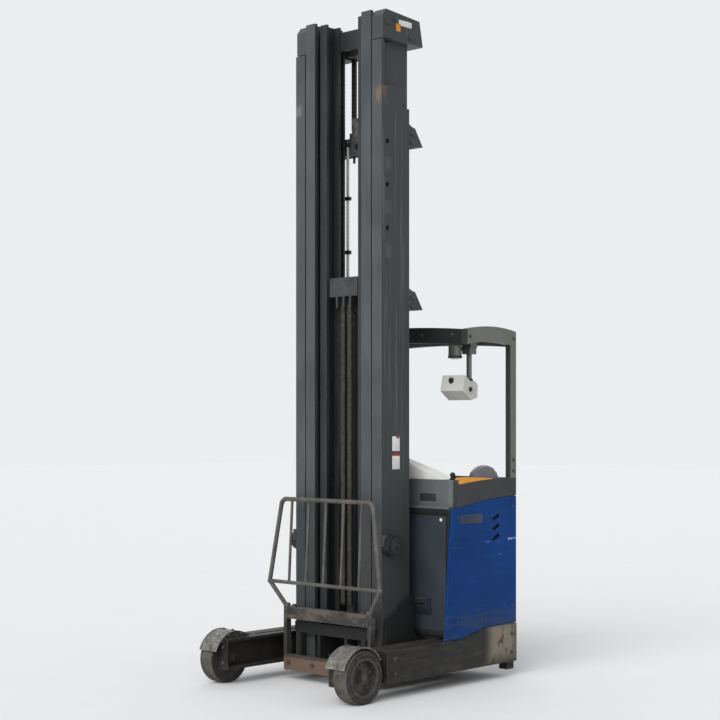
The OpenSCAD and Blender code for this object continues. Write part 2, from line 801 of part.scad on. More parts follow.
// Reach frame: side plates with a flared foot, roller arms, base of the lift cylinders and the rollers
module reach_frame() {
    roller_z = (channel_z0 + channel_z1) / 2;
    roller_d = channel_z1 - channel_z0 - 2 * roller_gap;
    color("#3f4345") {
        both_sides() {
            side_plate([[mast_s + 20, channel_z0], [mast_s + 20, 420], [rail_rear_s - 40, 560],
                [rail_rear_s, 560],
                [foot_s - 60, 330], [foot_s, leg_z1 - 6], [rear_roller_s + 60, channel_z1 - 10],
                    [rear_roller_s + 60, channel_z0]],
                [outer_y1, outer_y1 + gusset_t]);
            for (s = [front_roller_s, rear_roller_s]) {
                rod_y(s, roller_z, 50, [outer_y1 + gusset_t, roller_y0]);
                rod_y(s, roller_z, roller_d, [roller_y0, roller_y1]);
            }
        }
        block([lift_s - 28, lift_s + 34], [-outer_y1, outer_y1], [channel_z0, reach_beam_z1]);
    }
}

// Round caps on the outer sides of the mast
module side_caps() {
    color("#1f2122") both_sides() {
        rod_y(cap_s, cap_z, cap_d, [outer_y1, outer_y1 + cap_h - 8]);
        rod_y(cap_s, cap_z, cap_d - 16, [outer_y1 + cap_h - 8, outer_y1 + cap_h]);
    }
}

// Barrels of the two lift cylinders
module lift_cylinders() {
    color("#313436") both_sides() difference() {
        union() {
            post(lift_s, lift_y, lift_d, [reach_beam_z1, lift_barrel_z1]);
            post(lift_s, lift_y, lift_d + 2, [lift_barrel_z1 - lift_collar_h, lift_barrel_z1]);
        }
        post(lift_s, lift_y, lift_rod_d + 2 * fit_gap, [channel_z1 + 20, lift_barrel_z1 + 1]);
    }
}

// Pale oil pipe between the two outer beams
module oil_pipe() { color("#b8bab8") post(pipe_s, pipe_y, pipe_d,
    [beam_z[1] + 20, beam_z[0] + beam_h - 20]); }

// Black hoses from the reach frame up to the lower outer beam
module mast_hoses() {
    color("#1c1d1e") for (y = hose_y) post(pipe_s, y, pipe_d, [reach_beam_z1 + seat_gap, beam_z[1] + 60]);
}

// Middle rails: I sections with a roller pair running in the outer rails
module mast_middle_rails() {
    color("#45494b") both_sides() {
        linear_extrude_from(rail_z0, stage_top) {
            for (s = [mast_s, rail_rear_s - flange_t])
                translate([sx(s + flange_t), middle_y0]) square([flange_t, flange_w]);
            translate([sx(rail_rear_s), middle_web_y1 - middle_web_t]) square([rail_depth, middle_web_t]);
        }
        rod_y(rail_mid_s, lower_roller_z, 50, [middle_web_y1 - 1, outer_y0]);
        rod_y(rail_mid_s, lower_roller_z, rail_roller_d, [outer_y0, outer_y1 - rail_web - running_gap]);
    }
}

// Head of the middle stage: side cheeks with skirts over the outer rails, the upper cross beam,
// slotted for the chain pulleys, and the lower cross beam
module mast_head() {
    z0 = outer_top + head_gap;
    skirt_s = mast_s + flange_t + running_gap;
    color("#45494b") difference() {
        union() {
            both_sides() side_plate([[mast_s + 10, z0], [mast_s + 10, stage_top - 40],
                [mast_s + 40, stage_top],
                [beam_nose_s - 32, stage_top - 24], [beam_nose_s, z0]], [middle_y1, outer_y1]);
            cross_bar([[rail_rear_s, z0], [beam_nose_s, z0], [beam_nose_s - 32, stage_top - 24],
                [rail_rear_s, stage_top - 16]],
                middle_y1);
            both_sides() side_plate([[skirt_s, z0 + 5], [skirt_s, z0 - skirt_drop],
                [rail_rear_s - 4, z0 - skirt_drop],
                [rail_rear_s + 21, z0], [rail_rear_s + 21, z0 + 5]], [head_skirt_y, head_skirt_y + 12]);
            block([middle_beam_s, middle_beam_s + middle_beam_t], [-middle_beam_half, middle_beam_half],
                [300, 420]);
        }
        both_sides() block([chain_s - 12, beam_nose_s - 18], around(chain_y, 24), [z0 - 1, stage_top + 1]);
    }
}

// Rods of the lift cylinders, hung from the head of the middle stage
module lift_rods() {
    color("#c9cccd") both_sides() post(lift_s, lift_y, lift_rod_d,
        [lift_barrel_z1 - stage_lift - rod_guide, outer_top + head_gap]);
}

// One run of leaf chain with its plates standing out at every other pitch
module chain_run(s, y, w, z) {
    n = floor((z[1] - z[0]) / chain_pitch);
    block(s + [2, -2], around(y, w / 2), z);
    for (i = [0:n - 1]) block(s, around(y, w / 2 - 3), moved(z[0] + i * chain_pitch, [0, chain_pitch / 2]));
}

// A chain pulley on its pin with the chain lying over it
module chain_pulley(s, y, w, z, pin) {
    rod_y(s, z, pulley_d, around(y, w / 2));
    rod_y(s, z, 30, around(y, pin / 2));
    translate([sx(s), y - w / 2, z]) rotate([-90, 0, 0]) rotate([0, 0, 180]) rotate_extrude(angle = 180)
        translate([pulley_d / 2, 0]) square([chain_t, w]);
}

// Lift chains of the mast, over the pulleys in the head
module mast_chains() {
    s = chain_s + chain_t / 2 + pulley_d / 2;
    r = pulley_d / 2;
    color("#8b8c88") both_sides() {
        chain_pulley(s, chain_y, chain_w, head_pulley_z, 48);
        chain_run(moved(s - r, [-chain_t, 0]), chain_y, chain_w, [360, head_pulley_z]);
        chain_run(moved(rear_chain_s, [0, chain_t]), chain_y, chain_w,
            [beam_z[0] + beam_h + anchor_h, head_pulley_z]);
    }
}

// Inner rails with their cross beams and rollers running in the middle rails
module mast_inner_rails() {
    color("#4b4f51") {
        both_sides() {
            linear_extrude_from(rail_z0 + 15, stage_top - 10)
                channel_plan([inner_s0, inner_s1], [inner_y0, inner_y1], inner_web, inner_flange_t);
            rod_y(rail_mid_s, lower_roller_z + 20, 50, [inner_y1 - 1, middle_y0]);
            rod_y(rail_mid_s, lower_roller_z + 20, rail_roller_d,
                [middle_y0 - 4, middle_web_y1 - middle_web_t - running_gap]);
        }
        for (z = inner_beam_z) block([inner_beam_s, inner_beam_s + inner_beam_t], [-inner_y1, inner_y1], z);
        block([free_s - 45, inner_beam_s], [-48, 48], [free_z0 - 40, free_z0]);
    }
}

// Barrel of the free lift cylinder
module free_lift_cylinder() {
    color("#313436") difference() {
        union() {
            post(free_s, 0, free_d, [free_z0, free_z1]);
            post(free_s, 0, free_d + 8, [free_z1 - 70, free_z1]);
        }
        post(free_s, 0, free_rod_d + 2 * fit_gap, [free_z0 + 30, free_z1 + 1]);
    }
}

// Rod of the free lift cylinder with its crosshead: pulley cheeks and a yoke plate between the inner rails
module free_lift_rod() {
    color("#c9cccd") {
        post(free_s, 0, free_rod_d, [free_z1 - free_lift / 2 - free_guide, crosshead_z]);
        block(around(free_s, 30), [-66, 66], [crosshead_z - 6, crosshead_z + 20]);
        for (y = [-66, -8, 50]) block([yoke_s, free_s + 25], [y, y + 16],
            [crosshead_z + 20, crosshead_z + yoke_h]);
        block([yoke_s, yoke_s + 12], [-yoke_half, yoke_half], [crosshead_z + 90, crosshead_z + yoke_h]);
    }
}

// Chains of the free lift, over the pulleys of the crosshead
module lift_chains() {
    r = pulley_d / 2;
    z = crosshead_z + 80;
    color("#8b8c88") both_sides() {
        chain_pulley(free_s, free_chain_y, free_chain_w, z, free_chain_w + 9.4);
        chain_run(moved(free_s - r, [-chain_t, 0]), free_chain_y, free_chain_w, [fork_bar_top + 20, z]);
        chain_run(moved(free_s + r, [0, chain_t]), free_chain_y, free_chain_w, [900, z]);
    }
}

// Lift carriage: side plates with rollers in the inner rails, cross bar and lugs of the tilt pins
module carriage_plates() {
    color("#3a3c3d") difference() {
        union() {
            both_sides() {
                side_plate([[carriage_s, 100], [carriage_s, 378], [carriage_s + 17, 390],
                    [carriage_s + 17, 440],
                    [free_s + 25, 440], [free_s + 25, 100]], [plate_y0, plate_y0 + plate_t]);
                for (z = carriage_roller_z) {
                    rod_y(inner_mid_s, z, 40, [plate_y0 + plate_t, inner_y0 + 3]);
                    rod_y(inner_mid_s, z, inner_roller_d, [inner_y0 + 3, inner_y1 - inner_web - 5]);
                }
                block([carriage_s - 8, carriage_s + 25], [lug_y0, lug_y0 + 24], [85, 310]);
            }
            block([carriage_s, carriage_s + 25], [-330, 330], [300, 372]);
        }
        both_sides() rod_y(tilt_s, tilt_z, tilt_d + 2 * fit_gap, [lug_y0 - 1, lug_y0 + 25]);
    }
}

// Fork frame: upper and lower fork bars between side plates, hung on the tilt pins
module fork_frame() {
    half = fork_bar_w / 2;
    z0 = fork_bar_top - fork_bar_span;
    color("#6b625b") {
        block([fork_face_s, fork_face_s + 36], [-half, half], [fork_bar_top - 78, fork_bar_top]);
        block([fork_face_s, fork_face_s + 36], [-half, half], [z0, z0 + 100]);
        both_sides() {
            block([fork_face_s, fork_face_s + 42], [half - 25, half], [z0, fork_bar_top]);
            block([fork_face_s + 36, tilt_s + 18], [lug_y0 - 32, lug_y0 - 6], [tilt_z - 20, tilt_z + 20]);
            rod_y(tilt_s, tilt_z, tilt_d, [lug_y0 - 32, lug_y0 + 34]);
        }
    }
}

// Load backrest: a bent tube frame with upright bars on the fork frame
module load_backrest() {
    x = sx(backrest_s);
    h0 = backrest_w0 / 2;
    h1 = backrest_w1 / 2;
    rise = backrest_z1 - backrest_z0;
    flare = atan((h0 - h1) / rise);
    t = bend_r * tan((90 - flare) / 2);
    color("#6d665f") {
        translate([x, 0, backrest_z0]) rotate([0, -backrest_lean, 0]) {
            tube([0, -h1 + t, rise], [0, h1 - t, rise], backrest_d);
            tube([0, -h0, 0], [0, h0, 0], backrest_d - 4);
            both_sides() {
                tube([0, h0, 0], [0, h1 + t * sin(flare), rise - t * cos(flare)], backrest_d);
                translate([0, h1 - t, rise - bend_r]) rotate([90, 0, 90]) rotate([0, 0, flare - bend_lap])
                    rotate_extrude(angle = 90 - flare + 2 * bend_lap)
                        translate([bend_r, 0]) circle(d = backrest_d + bend_proud);
                translate([0, h0, 0]) sphere(d = backrest_d + 4);
            }
            for (i = [1:backrest_bars]) let (y = (i - (backrest_bars + 1) / 2) * backrest_pitch)
                tube([0, y, 0], [0, y, rise], backrest_d - 10);
        }
        both_sides() intersection() {
            tube([x, h0, backrest_z0], [sx(backrest_foot_s), fork_bar_w / 2 - 22, fork_bar_top - 10],
                backrest_d);
            block([0, 2 * fork_face_s], [0, chassis_w], [fork_bar_top, backrest_z0 + 40]);
        }
    }
}

base_frame();
outrigger_left();
outrigger_right();
load_axles();
wheel_covers();
battery();
front_cover();
side_cover_left();
side_cover_right();
rear_cover();
hood();
upper_band();
side_trim();
seat_base();
seat_cushion();
seat_backrest();
console();
control_lever();
steering_wheel();
guard_frame();
guard_grille();
guard_legs();
display_arm();
display();
load_tyre_left();
load_hub_left();
load_tyre_right();
load_hub_right();
drive_fork();
drive_motor();
drive_tyre();
drive_hub();
mast_outer_rails();
mast_outer_beams();
reach_frame();
side_caps();
lift_cylinders();
oil_pipe();
mast_hoses();
mast_middle_rails();
mast_head();
lift_rods();
mast_chains();
mast_inner_rails();
free_lift_cylinder();
free_lift_rod();
lift_chains();
carriage_plates();
fork_frame();
load_backrest();
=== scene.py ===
"""Looks of a worn reach truck: finishes for its solids and the small pieces fixed to them.

Lengths are metres in the part's frame: X forward to the fork carriage, Y to the truck's left, Z up.
"""

from __future__ import annotations

import json
import logging
import math
from dataclasses import dataclass, field
from enum import Enum

import bpy
import numpy as np
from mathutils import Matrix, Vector

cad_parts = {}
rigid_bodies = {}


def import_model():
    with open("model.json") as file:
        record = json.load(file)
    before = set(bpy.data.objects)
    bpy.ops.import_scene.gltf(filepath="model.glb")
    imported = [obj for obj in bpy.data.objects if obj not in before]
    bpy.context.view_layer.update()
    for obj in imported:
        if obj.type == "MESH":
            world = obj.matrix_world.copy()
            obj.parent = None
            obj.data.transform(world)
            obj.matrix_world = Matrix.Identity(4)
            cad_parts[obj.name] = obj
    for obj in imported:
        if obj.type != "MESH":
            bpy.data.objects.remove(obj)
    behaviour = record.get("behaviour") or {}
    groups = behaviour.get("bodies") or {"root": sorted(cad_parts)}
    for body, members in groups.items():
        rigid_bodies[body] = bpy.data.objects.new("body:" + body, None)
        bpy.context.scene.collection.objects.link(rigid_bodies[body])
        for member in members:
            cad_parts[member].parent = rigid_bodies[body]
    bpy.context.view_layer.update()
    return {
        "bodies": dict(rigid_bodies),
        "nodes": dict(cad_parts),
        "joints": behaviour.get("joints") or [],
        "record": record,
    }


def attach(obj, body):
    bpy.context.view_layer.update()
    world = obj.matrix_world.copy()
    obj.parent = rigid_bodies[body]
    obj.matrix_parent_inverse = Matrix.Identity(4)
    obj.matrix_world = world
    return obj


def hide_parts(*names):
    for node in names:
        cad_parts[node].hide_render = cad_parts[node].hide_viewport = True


LOG = logging.getLogger("reach_truck")
Spot = tuple[float, float, float]
Colour = Spot
Profile = list[tuple[float, float]]
Socket = bpy.types.NodeSocket
Tree = bpy.types.NodeTree
AXLE_X = 0.647542  # the load axle, from which lengths to the rear are counted


def srgb(red: int, green: int, blue: int) -> Colour:
    """Turn a screen colour of 0 to 255 into linear light.

    Args:
        red, green, blue: Screen values.

    Returns:
        The linear colour.
    """
    screen = np.array([red, green, blue]) / 255.0
    linear = np.where(screen <= 0.04045, screen / 12.92, ((screen + 0.055) / 1.055) ** 2.4)
    return tuple(float(v) for v in linear)


class Canvas:
    """Short ways to place and join nodes in one shader node tree."""

    def __init__(self, tree: Tree) -> None:
        """Keep the tree that the nodes go into."""
        self.tree = tree

    def node(self, kind: str, **settings: object) -> bpy.types.Node:
        """Place a node.

        Args:
            kind: Blender's node type.
            settings: Properties of the node.

        Returns:
            The new node.
        """
        made = self.tree.nodes.new(kind)
        for key, value in settings.items():
            setattr(made, key, value)
        return made

    def put(self, socket: Socket, value: object) -> None:
        """Join a socket to an input, or set the input's own value."""
        if isinstance(value, Socket):
            self.tree.links.new(value, socket)
        elif hasattr(socket.default_value, "__len__") and len(socket.default_value) == 4:
            socket.default_value = (*value, 1.0)
        else:
            socket.default_value = value

    def wire(self, kind: str, inputs: dict[int | str, object], output: int | str = 0,
             **settings: object) -> Socket:
        """Place a node with its inputs filled.

        Args:
            kind: Blender's node type.
            inputs: Numbers, colours, vectors or sockets, by input.
            output: Which result is wanted.
            settings: Properties of the node.

        Returns:
            The result's socket.
        """
        made = self.node(kind, **settings)
        for key, value in inputs.items():
            self.put(made.inputs[key], value)
        return made.outputs[output]

    def find(self, kind: str) -> bpy.types.Node:
        """The first node of a type that the tree already has."""
        return next(n for n in self.tree.nodes if n.type == kind)

    def math(self, operation: str, *values: object, clamp: bool = False) -> Socket:
        """Work on numbers with a Math node, kept between 0 and 1 if clamp is set."""
        return self.wire("ShaderNodeMath", dict(enumerate(values)), operation=operation, use_clamp=clamp)

    def vector(self, operation: str, *values: object) -> Socket:
        """Work on vectors with a Vector Math node; a dot product comes back as a number."""
        output = "Value" if operation == "DOT_PRODUCT" else "Vector"
        return self.wire("ShaderNodeVectorMath", dict(enumerate(values)), output, operation=operation)

    def axes(self, vector: Socket) -> list[Socket]:
        """Split a vector into its X, Y and Z."""
        made = self.node("ShaderNodeSeparateXYZ")
        self.put(made.inputs[0], vector)
        return list(made.outputs)

    def ramp(self, value: object, low: object, high: object) -> Socket:
        """Rise smoothly from 0 at low to 1 at high."""
        inputs = {"Value": value, "From Min": low, "From Max": high}
        return self.wire("ShaderNodeMapRange", inputs, interpolation_type="SMOOTHSTEP")

    def mix(self, factor: object, first: object, second: object) -> Socket:
        """Mix two colours by a factor."""
        return self.wire("ShaderNodeMix", {0: factor, 6: first, 7: second}, 2, data_type="RGBA")

    def blend(self, factor: object, first: object, second: object) -> Socket:
        """Mix two numbers by a factor."""
        return self.wire("ShaderNodeMix", {0: factor, 2: first, 3: second}, data_type="FLOAT")

    def place(self, scale: Spot = (1, 1, 1)) -> Socket:
        """Object coordinates, stretched on each axis."""
        where = self.node("ShaderNodeTexCoord").outputs["Object"]
        return self.wire("ShaderNodeMapping", {"Vector": where, "Scale": scale})

    def noise(self, vector: Socket, scale: object, detail: float = 3.0, roughness: float = 0.55) -> Socket:
        """Cloudy noise from 0 to 1 at a vector."""
        inputs = {"Vector": vector, "Scale": scale, "Detail": detail, "Roughness": roughness}
        return self.wire("ShaderNodeTexNoise", inputs)


class Effect(Enum):
    """Shader groups that several finishes share."""

    EDGE_WEAR = "edge wear"
    DUST = "dust"
    REGION = "region"
    FACING = "facing"


@dataclass
class EffectShelf:
    """Builds each shared shader group once and hands it out."""

    groups: dict[Effect, Tree] = field(default_factory=dict)

    def get(self, effect: Effect) -> Tree:
        """Return the group of an effect, built at its first use.

        Args:
            effect: Which effect.

        Returns:
            Its node group.
        """
        if effect not in self.groups:
            makers = {Effect.EDGE_WEAR: self.edge_wear, Effect.DUST: self.dust,
                      Effect.REGION: self.region, Effect.FACING: self.facing}
            self.groups[effect] = makers[effect](effect.value)
        return self.groups[effect]

    @staticmethod
    def start(name: str, **inputs: float | Spot) -> tuple[Canvas, bpy.types.NodeOutputs, Socket]:
        """Open a group with its named inputs and one Mask output.

        Args:
            name: The group's name.
            inputs: Default of each input, a number or a vector.

        Returns:
            The canvas, the sockets that give the inputs, and the socket that takes the mask.
        """
        tree = bpy.data.node_groups.new(name, "ShaderNodeTree")
        for key, default in inputs.items():
            kind = "NodeSocketVector" if isinstance(default, tuple) else "NodeSocketFloat"
            tree.interface.new_socket(name=key, in_out="INPUT", socket_type=kind).default_value = default
        tree.interface.new_socket(name="Mask", in_out="OUTPUT", socket_type="NodeSocketFloat")
        canvas = Canvas(tree)
        return canvas, canvas.node("NodeGroupInput").outputs, canvas.node("NodeGroupOutput").inputs["Mask"]

    @classmethod
    def edge_wear(cls, name: str) -> Tree:
        """Mask of worn edges: where a rounded normal leaves the true one, broken up by noise."""
        canvas, given, mask = cls.start(name, Radius=0.004, Amount=0.5, Scale=30.0)
        bevel = canvas.wire("ShaderNodeBevel", {"Radius": given["Radius"]}, samples=4)
        true_normal = canvas.node("ShaderNodeNewGeometry").outputs["True Normal"]
        along = canvas.vector("DOT_PRODUCT", bevel, true_normal)
        edge = canvas.ramp(canvas.math("SUBTRACT", 1.0, along), 0.01, 0.2)
        cloud = canvas.noise(canvas.place(), given["Scale"], 4.0, 0.6)
        level = canvas.math("SUBTRACT", 1.0, given["Amount"])
        broken = canvas.ramp(cloud, canvas.math("MULTIPLY", level, 0.7), canvas.math("ADD", level, 0.2))
        canvas.put(mask, canvas.math("MULTIPLY", edge, broken, clamp=True))
        return canvas.tree

    @classmethod
    def dust(cls, name: str) -> Tree:
        """Mask of dust: thick on faces that look up and near the floor, thinning with height, in patches."""
        canvas, given, mask = cls.start(name, Amount=0.5, Height=0.6)
        normal = canvas.node("ShaderNodeNewGeometry").outputs["Normal"]
        facing = canvas.ramp(canvas.axes(normal)[2], 0.3, 1.0)
        height = canvas.axes(canvas.place())[2]
        low = canvas.math("SUBTRACT", 1.0, canvas.ramp(height, 0.0, given["Height"]))
        cloud = canvas.ramp(canvas.noise(canvas.place(), 9.0, 6.0, 0.65), 0.3, 0.7)
        both = canvas.math("MAXIMUM", canvas.math("MULTIPLY", facing, 0.9), canvas.math("MULTIPLY", low, 0.8))
        patchy = canvas.math("MULTIPLY", both, canvas.math("MULTIPLY_ADD", cloud, 0.7, 0.3))
        canvas.put(mask, canvas.math("MULTIPLY", patchy, given["Amount"], clamp=True))
        return canvas.tree

    @classmethod
    def region(cls, name: str) -> Tree:
        """Mask of a soft box: 1 within a half size of a centre on every axis, 0 a softness further out."""
        canvas, given, mask = cls.start(name, Centre=(0, 0, 0), Half=(1, 1, 1), Softness=0.01)
        away = canvas.vector("SUBTRACT", canvas.place(), given["Centre"])
        x, y, z = canvas.axes(canvas.vector("SUBTRACT", canvas.vector("ABSOLUTE", away), given["Half"]))
        most = canvas.math("MAXIMUM", canvas.math("MAXIMUM", x, y), z)
        canvas.put(mask, canvas.math("SUBTRACT", 1.0, canvas.ramp(most, 0.0, given["Softness"])))
        return canvas.tree

    @classmethod
    def facing(cls, name: str) -> Tree:
        """Mask of the faces whose normal lies along an axis, either way."""
        canvas, given, mask = cls.start(name, Axis=(0, 1, 0))
        true_normal = canvas.node("ShaderNodeNewGeometry").outputs["True Normal"]
        along = canvas.vector("DOT_PRODUCT", true_normal, given["Axis"])
        canvas.put(mask, canvas.ramp(canvas.math("ABSOLUTE", along), 0.6, 0.9))
        return canvas.tree


EFFECTS = EffectShelf()


@dataclass(frozen=True)
class Patch:
    """A soft-edged box on a surface that takes another colour, broken up by noise."""

    centre: Spot
    half: Spot
    colour: Colour
    strength: float = 0.8
    scale: Spot = (20.0, 20.0, 20.0)
    cover: float = 0.5
    softness: float = 0.02


@dataclass(frozen=True)
class Finish:
    """One painted, moulded or bare surface, with its cloudiness, streaks, edge wear, dust and grain."""

    name: str
    colour: Colour
    cloud_colour: Colour | None = None
    cloud_scale: float = 6.0
    roughness: float = 0.5
    roughness_spread: float = 0.15
    metallic: float = 0.0
    streak_colour: Colour | None = None
    streak_scale: Spot = (40.0, 40.0, 1.2)
    streak_amount: float = 0.3
    wear_colour: Colour | None = None
    wear_amount: float = 0.5
    wear_radius: float = 0.004
    wear_scale: float = 30.0
    dust_colour: Colour = (0.25, 0.22, 0.19)
    dust_amount: float = 0.3
    dust_height: float = 0.5
    grain_scale: float = 400.0
    grain_depth: float = 0.05
    grain_size: float = 0.001
    coat: float = 0.0
    specular: float = 0.3
    face_colour: Colour | None = None
    face_axis: Spot = (0.0, 1.0, 0.0)
    patches: tuple[Patch, ...] = ()

    CLOUD_SHADE = 0.72
    CLOUD_RANGE = (0.35, 0.68)
    STREAK_RANGE = (0.54, 0.74)
    SPOT_LEVEL = 0.95
    SPOT_EDGE = 0.1
    WORN_ROUGHNESS = 0.42
    DUSTY_ROUGHNESS = 0.88

    def effect(self, canvas: Canvas, effect: Effect, **inputs: object) -> Socket:
        """Place a shared group and set its inputs.

        Args:
            canvas: The material's canvas.
            effect: Which group.
            inputs: Values by input name.

        Returns:
            The group's mask.
        """
        return canvas.wire("ShaderNodeGroup", inputs, "Mask", node_tree=EFFECTS.get(effect))

    def build(self) -> bpy.types.Material:
        """Make the material.

        Returns:
            The material with its node tree.
        """
        material = bpy.data.materials.new(self.name)
        material.use_nodes = True
        canvas = Canvas(material.node_tree)
        shader = canvas.find("BSDF_PRINCIPLED")
        cloud = canvas.noise(canvas.place(), self.cloud_scale, 5.0, 0.6)
        darker = tuple(self.CLOUD_SHADE * c for c in self.colour)
        colour = canvas.mix(canvas.ramp(cloud, *self.CLOUD_RANGE), self.colour, self.cloud_colour or darker)
        centred = canvas.math("SUBTRACT", cloud, 0.5)
        rough = canvas.math("MULTIPLY_ADD", centred, 2 * self.roughness_spread, self.roughness)
        # Faces along face_axis take face_colour. On the mast, the inner rails and the wheel covers this is
        # painted shade on their side faces.
        if self.face_colour:
            facing = self.effect(canvas, Effect.FACING, Axis=self.face_axis)
            colour = canvas.mix(facing, colour, self.face_colour)
        if self.streak_colour:
            streak = canvas.noise(canvas.place(self.streak_scale), 1.0, 5.0, 0.65)
            fade = canvas.math("MULTIPLY", canvas.ramp(streak, *self.STREAK_RANGE), self.streak_amount)
            colour = canvas.mix(fade, colour, self.streak_colour)
        for patch in self.patches:
            mask = self.effect(canvas, Effect.REGION, Centre=patch.centre, Half=patch.half,
                               Softness=patch.softness)
            spots = canvas.noise(canvas.place(patch.scale), 1.0, 5.0, 0.65)
            level = self.SPOT_LEVEL - patch.cover
            spots = canvas.ramp(spots, level - self.SPOT_EDGE, level + self.SPOT_EDGE)
            fade = canvas.math("MULTIPLY", canvas.math("MULTIPLY", mask, spots), patch.strength)
            colour = canvas.mix(fade, colour, patch.colour)
        if self.wear_colour:
            wear = self.effect(canvas, Effect.EDGE_WEAR, Radius=self.wear_radius, Amount=self.wear_amount,
                               Scale=self.wear_scale)
            colour = canvas.mix(wear, colour, self.wear_colour)
            rough = canvas.blend(wear, rough, self.WORN_ROUGHNESS)
        dust = self.effect(canvas, Effect.DUST, Amount=self.dust_amount, Height=self.dust_height)
        colour = canvas.mix(dust, colour, self.dust_colour)
        rough = canvas.blend(dust, rough, self.DUSTY_ROUGHNESS)
        grain = canvas.noise(canvas.place(), self.grain_scale, 3.0, 0.6)
        bump = canvas.wire("ShaderNodeBump", {"Strength": self.grain_depth, "Distance": self.grain_size,
                                              "Height": grain})
        for key, value in (("Base Color", colour), ("Roughness", rough), ("Normal", bump),
                           ("Metallic", self.metallic), ("Coat Weight", self.coat),
                           ("Specular IOR Level", self.specular)):
            canvas.put(shader.inputs[key], value)
        return material


@dataclass
class Shell:
    """A mesh as whole arrays: points, four-sided faces and many-sided caps."""

    points: np.ndarray
    quads: np.ndarray
    caps: list[np.ndarray] = field(default_factory=list)

    @staticmethod
    def join(shells: list[Shell]) -> Shell:
        """Put several shells into one.

        Args:
            shells: The shells, in any order.

        Returns:
            One shell with all points and faces.
        """
        starts = np.cumsum([0] + [len(s.points) for s in shells[:-1]])
        caps = [cap + start for s, start in zip(shells, starts) for cap in s.caps]
        quads = np.concatenate([s.quads + start for s, start in zip(shells, starts)])
        return Shell(np.concatenate([s.points for s in shells]), quads, caps)

    def moved(self, offset: np.ndarray | Spot) -> Shell:
        """Return the shell moved by an offset."""
        return Shell(self.points + np.asarray(offset, float), self.quads, self.caps)

    def turned(self, axes: tuple[Spot, Spot, Spot]) -> Shell:
        """Return the shell with its own X, Y and Z laid along the rows of axes, a right-handed set."""
        return Shell(self.points @ np.asarray(axes, float), self.quads, self.caps)

    def copies(self, offsets: np.ndarray) -> Shell:
        """Return one shell with a copy at each offset."""
        return Shell.join([self.moved(offset) for offset in np.asarray(offsets, float).reshape(-1, 3)])


def grid_quads(rows: int, columns: int, wrap: bool = True) -> np.ndarray:
    """Faces of a grid of points numbered row by row.

    Args:
        rows, columns: Points along and around.
        wrap: Whether the last column joins the first.

    Returns:
        Four point numbers for each face.
    """
    row, column = np.meshgrid(np.arange(rows - 1), np.arange(columns if wrap else columns - 1), indexing="ij")
    after = (column + 1) % columns
    quads = np.stack([row * columns + column, row * columns + after, (row + 1) * columns + after,
                      (row + 1) * columns + column], axis=-1)
    return quads.reshape(-1, 4)


def tube(grid: np.ndarray) -> Shell:
    """Rows of points joined round and along, closed by flat ends."""
    rows, columns = grid.shape[:2]
    ends = [np.arange(columns)[::-1], (rows - 1) * columns + np.arange(columns)]
    return Shell(grid.reshape(-1, 3), grid_quads(rows, columns), ends)


def lathe(profile: Profile, sides: int = 32) -> Shell:
    """Turn a profile of (radius, height) about Z: x = r cos t, y = r sin t, z = h, closed by flat ends.

    Args:
        profile: Radii and heights from the lower end to the upper one.
        sides: Points round the axis.

    Returns:
        The turned shell.
    """
    radius, height = np.array(profile, float).T
    turn = np.linspace(0, 2 * math.pi, sides, endpoint=False)
    return tube(np.stack([radius[:, None] * np.cos(turn), radius[:, None] * np.sin(turn),
                          np.broadcast_to(height[:, None], (len(radius), sides))], axis=-1))


def rounded_box(centre: np.ndarray, half: Spot, radius: float, steps: int = 3) -> Shell:
    """A box with rounded edges: a smaller box's corners, each plus the radius along a sphere's normals.

    Args:
        centre: Middle of the box.
        half: Half its length on each axis.
        radius: Radius of the edges.
        steps: Faces round a quarter turn.

    Returns:
        The closed shell.
    """
    quarter = np.linspace(0, math.pi / 2, steps + 1)
    tilt = np.concatenate([quarter - math.pi / 2, quarter])
    lift = np.repeat([-1.0, 1.0], steps + 1)
    turn = np.concatenate([quarter + k * math.pi / 2 for k in range(4)])
    side = np.repeat(np.array([(1, 1), (-1, 1), (-1, -1), (1, -1)], float), steps + 1, axis=0)
    normal = np.stack([np.cos(tilt)[:, None] * np.cos(turn), np.cos(tilt)[:, None] * np.sin(turn),
                       np.broadcast_to(np.sin(tilt)[:, None], (len(tilt), len(turn)))], axis=-1)
    corner = np.concatenate([np.broadcast_to(side, (len(tilt), len(turn), 2)),
                             np.broadcast_to(lift[:, None, None], (len(tilt), len(turn), 1))], axis=-1)
    inner = np.maximum(np.array(half, float) - radius, 0.0)
    return tube(centre + corner * inner + normal * radius)


def pipe(path: np.ndarray, radius: float, sides: int = 12) -> Shell:
    """A round pipe along a path: a circle across the path's direction at each point, closed by flat ends.

    Args:
        path: Points along the middle.
        radius: Radius of the pipe.
        sides: Points round it.

    Returns:
        The closed shell.
    """
    path = np.asarray(path, float)
    along = np.gradient(path, axis=0)
    along /= np.linalg.norm(along, axis=1, keepdims=True)
    guide = np.array([0.31, 0.17, 0.93]) if abs(along[0, 2]) < 0.9 else np.array([0.93, 0.31, 0.17])
    across = np.cross(along, guide)
    across /= np.linalg.norm(across, axis=1, keepdims=True)
    third = np.cross(along, across)
    turn = np.linspace(0, 2 * math.pi, sides, endpoint=False)
    ring = np.cos(turn)[None, :, None] * across[:, None] + np.sin(turn)[None, :, None] * third[:, None]
    return tube(path[:, None] + radius * ring)


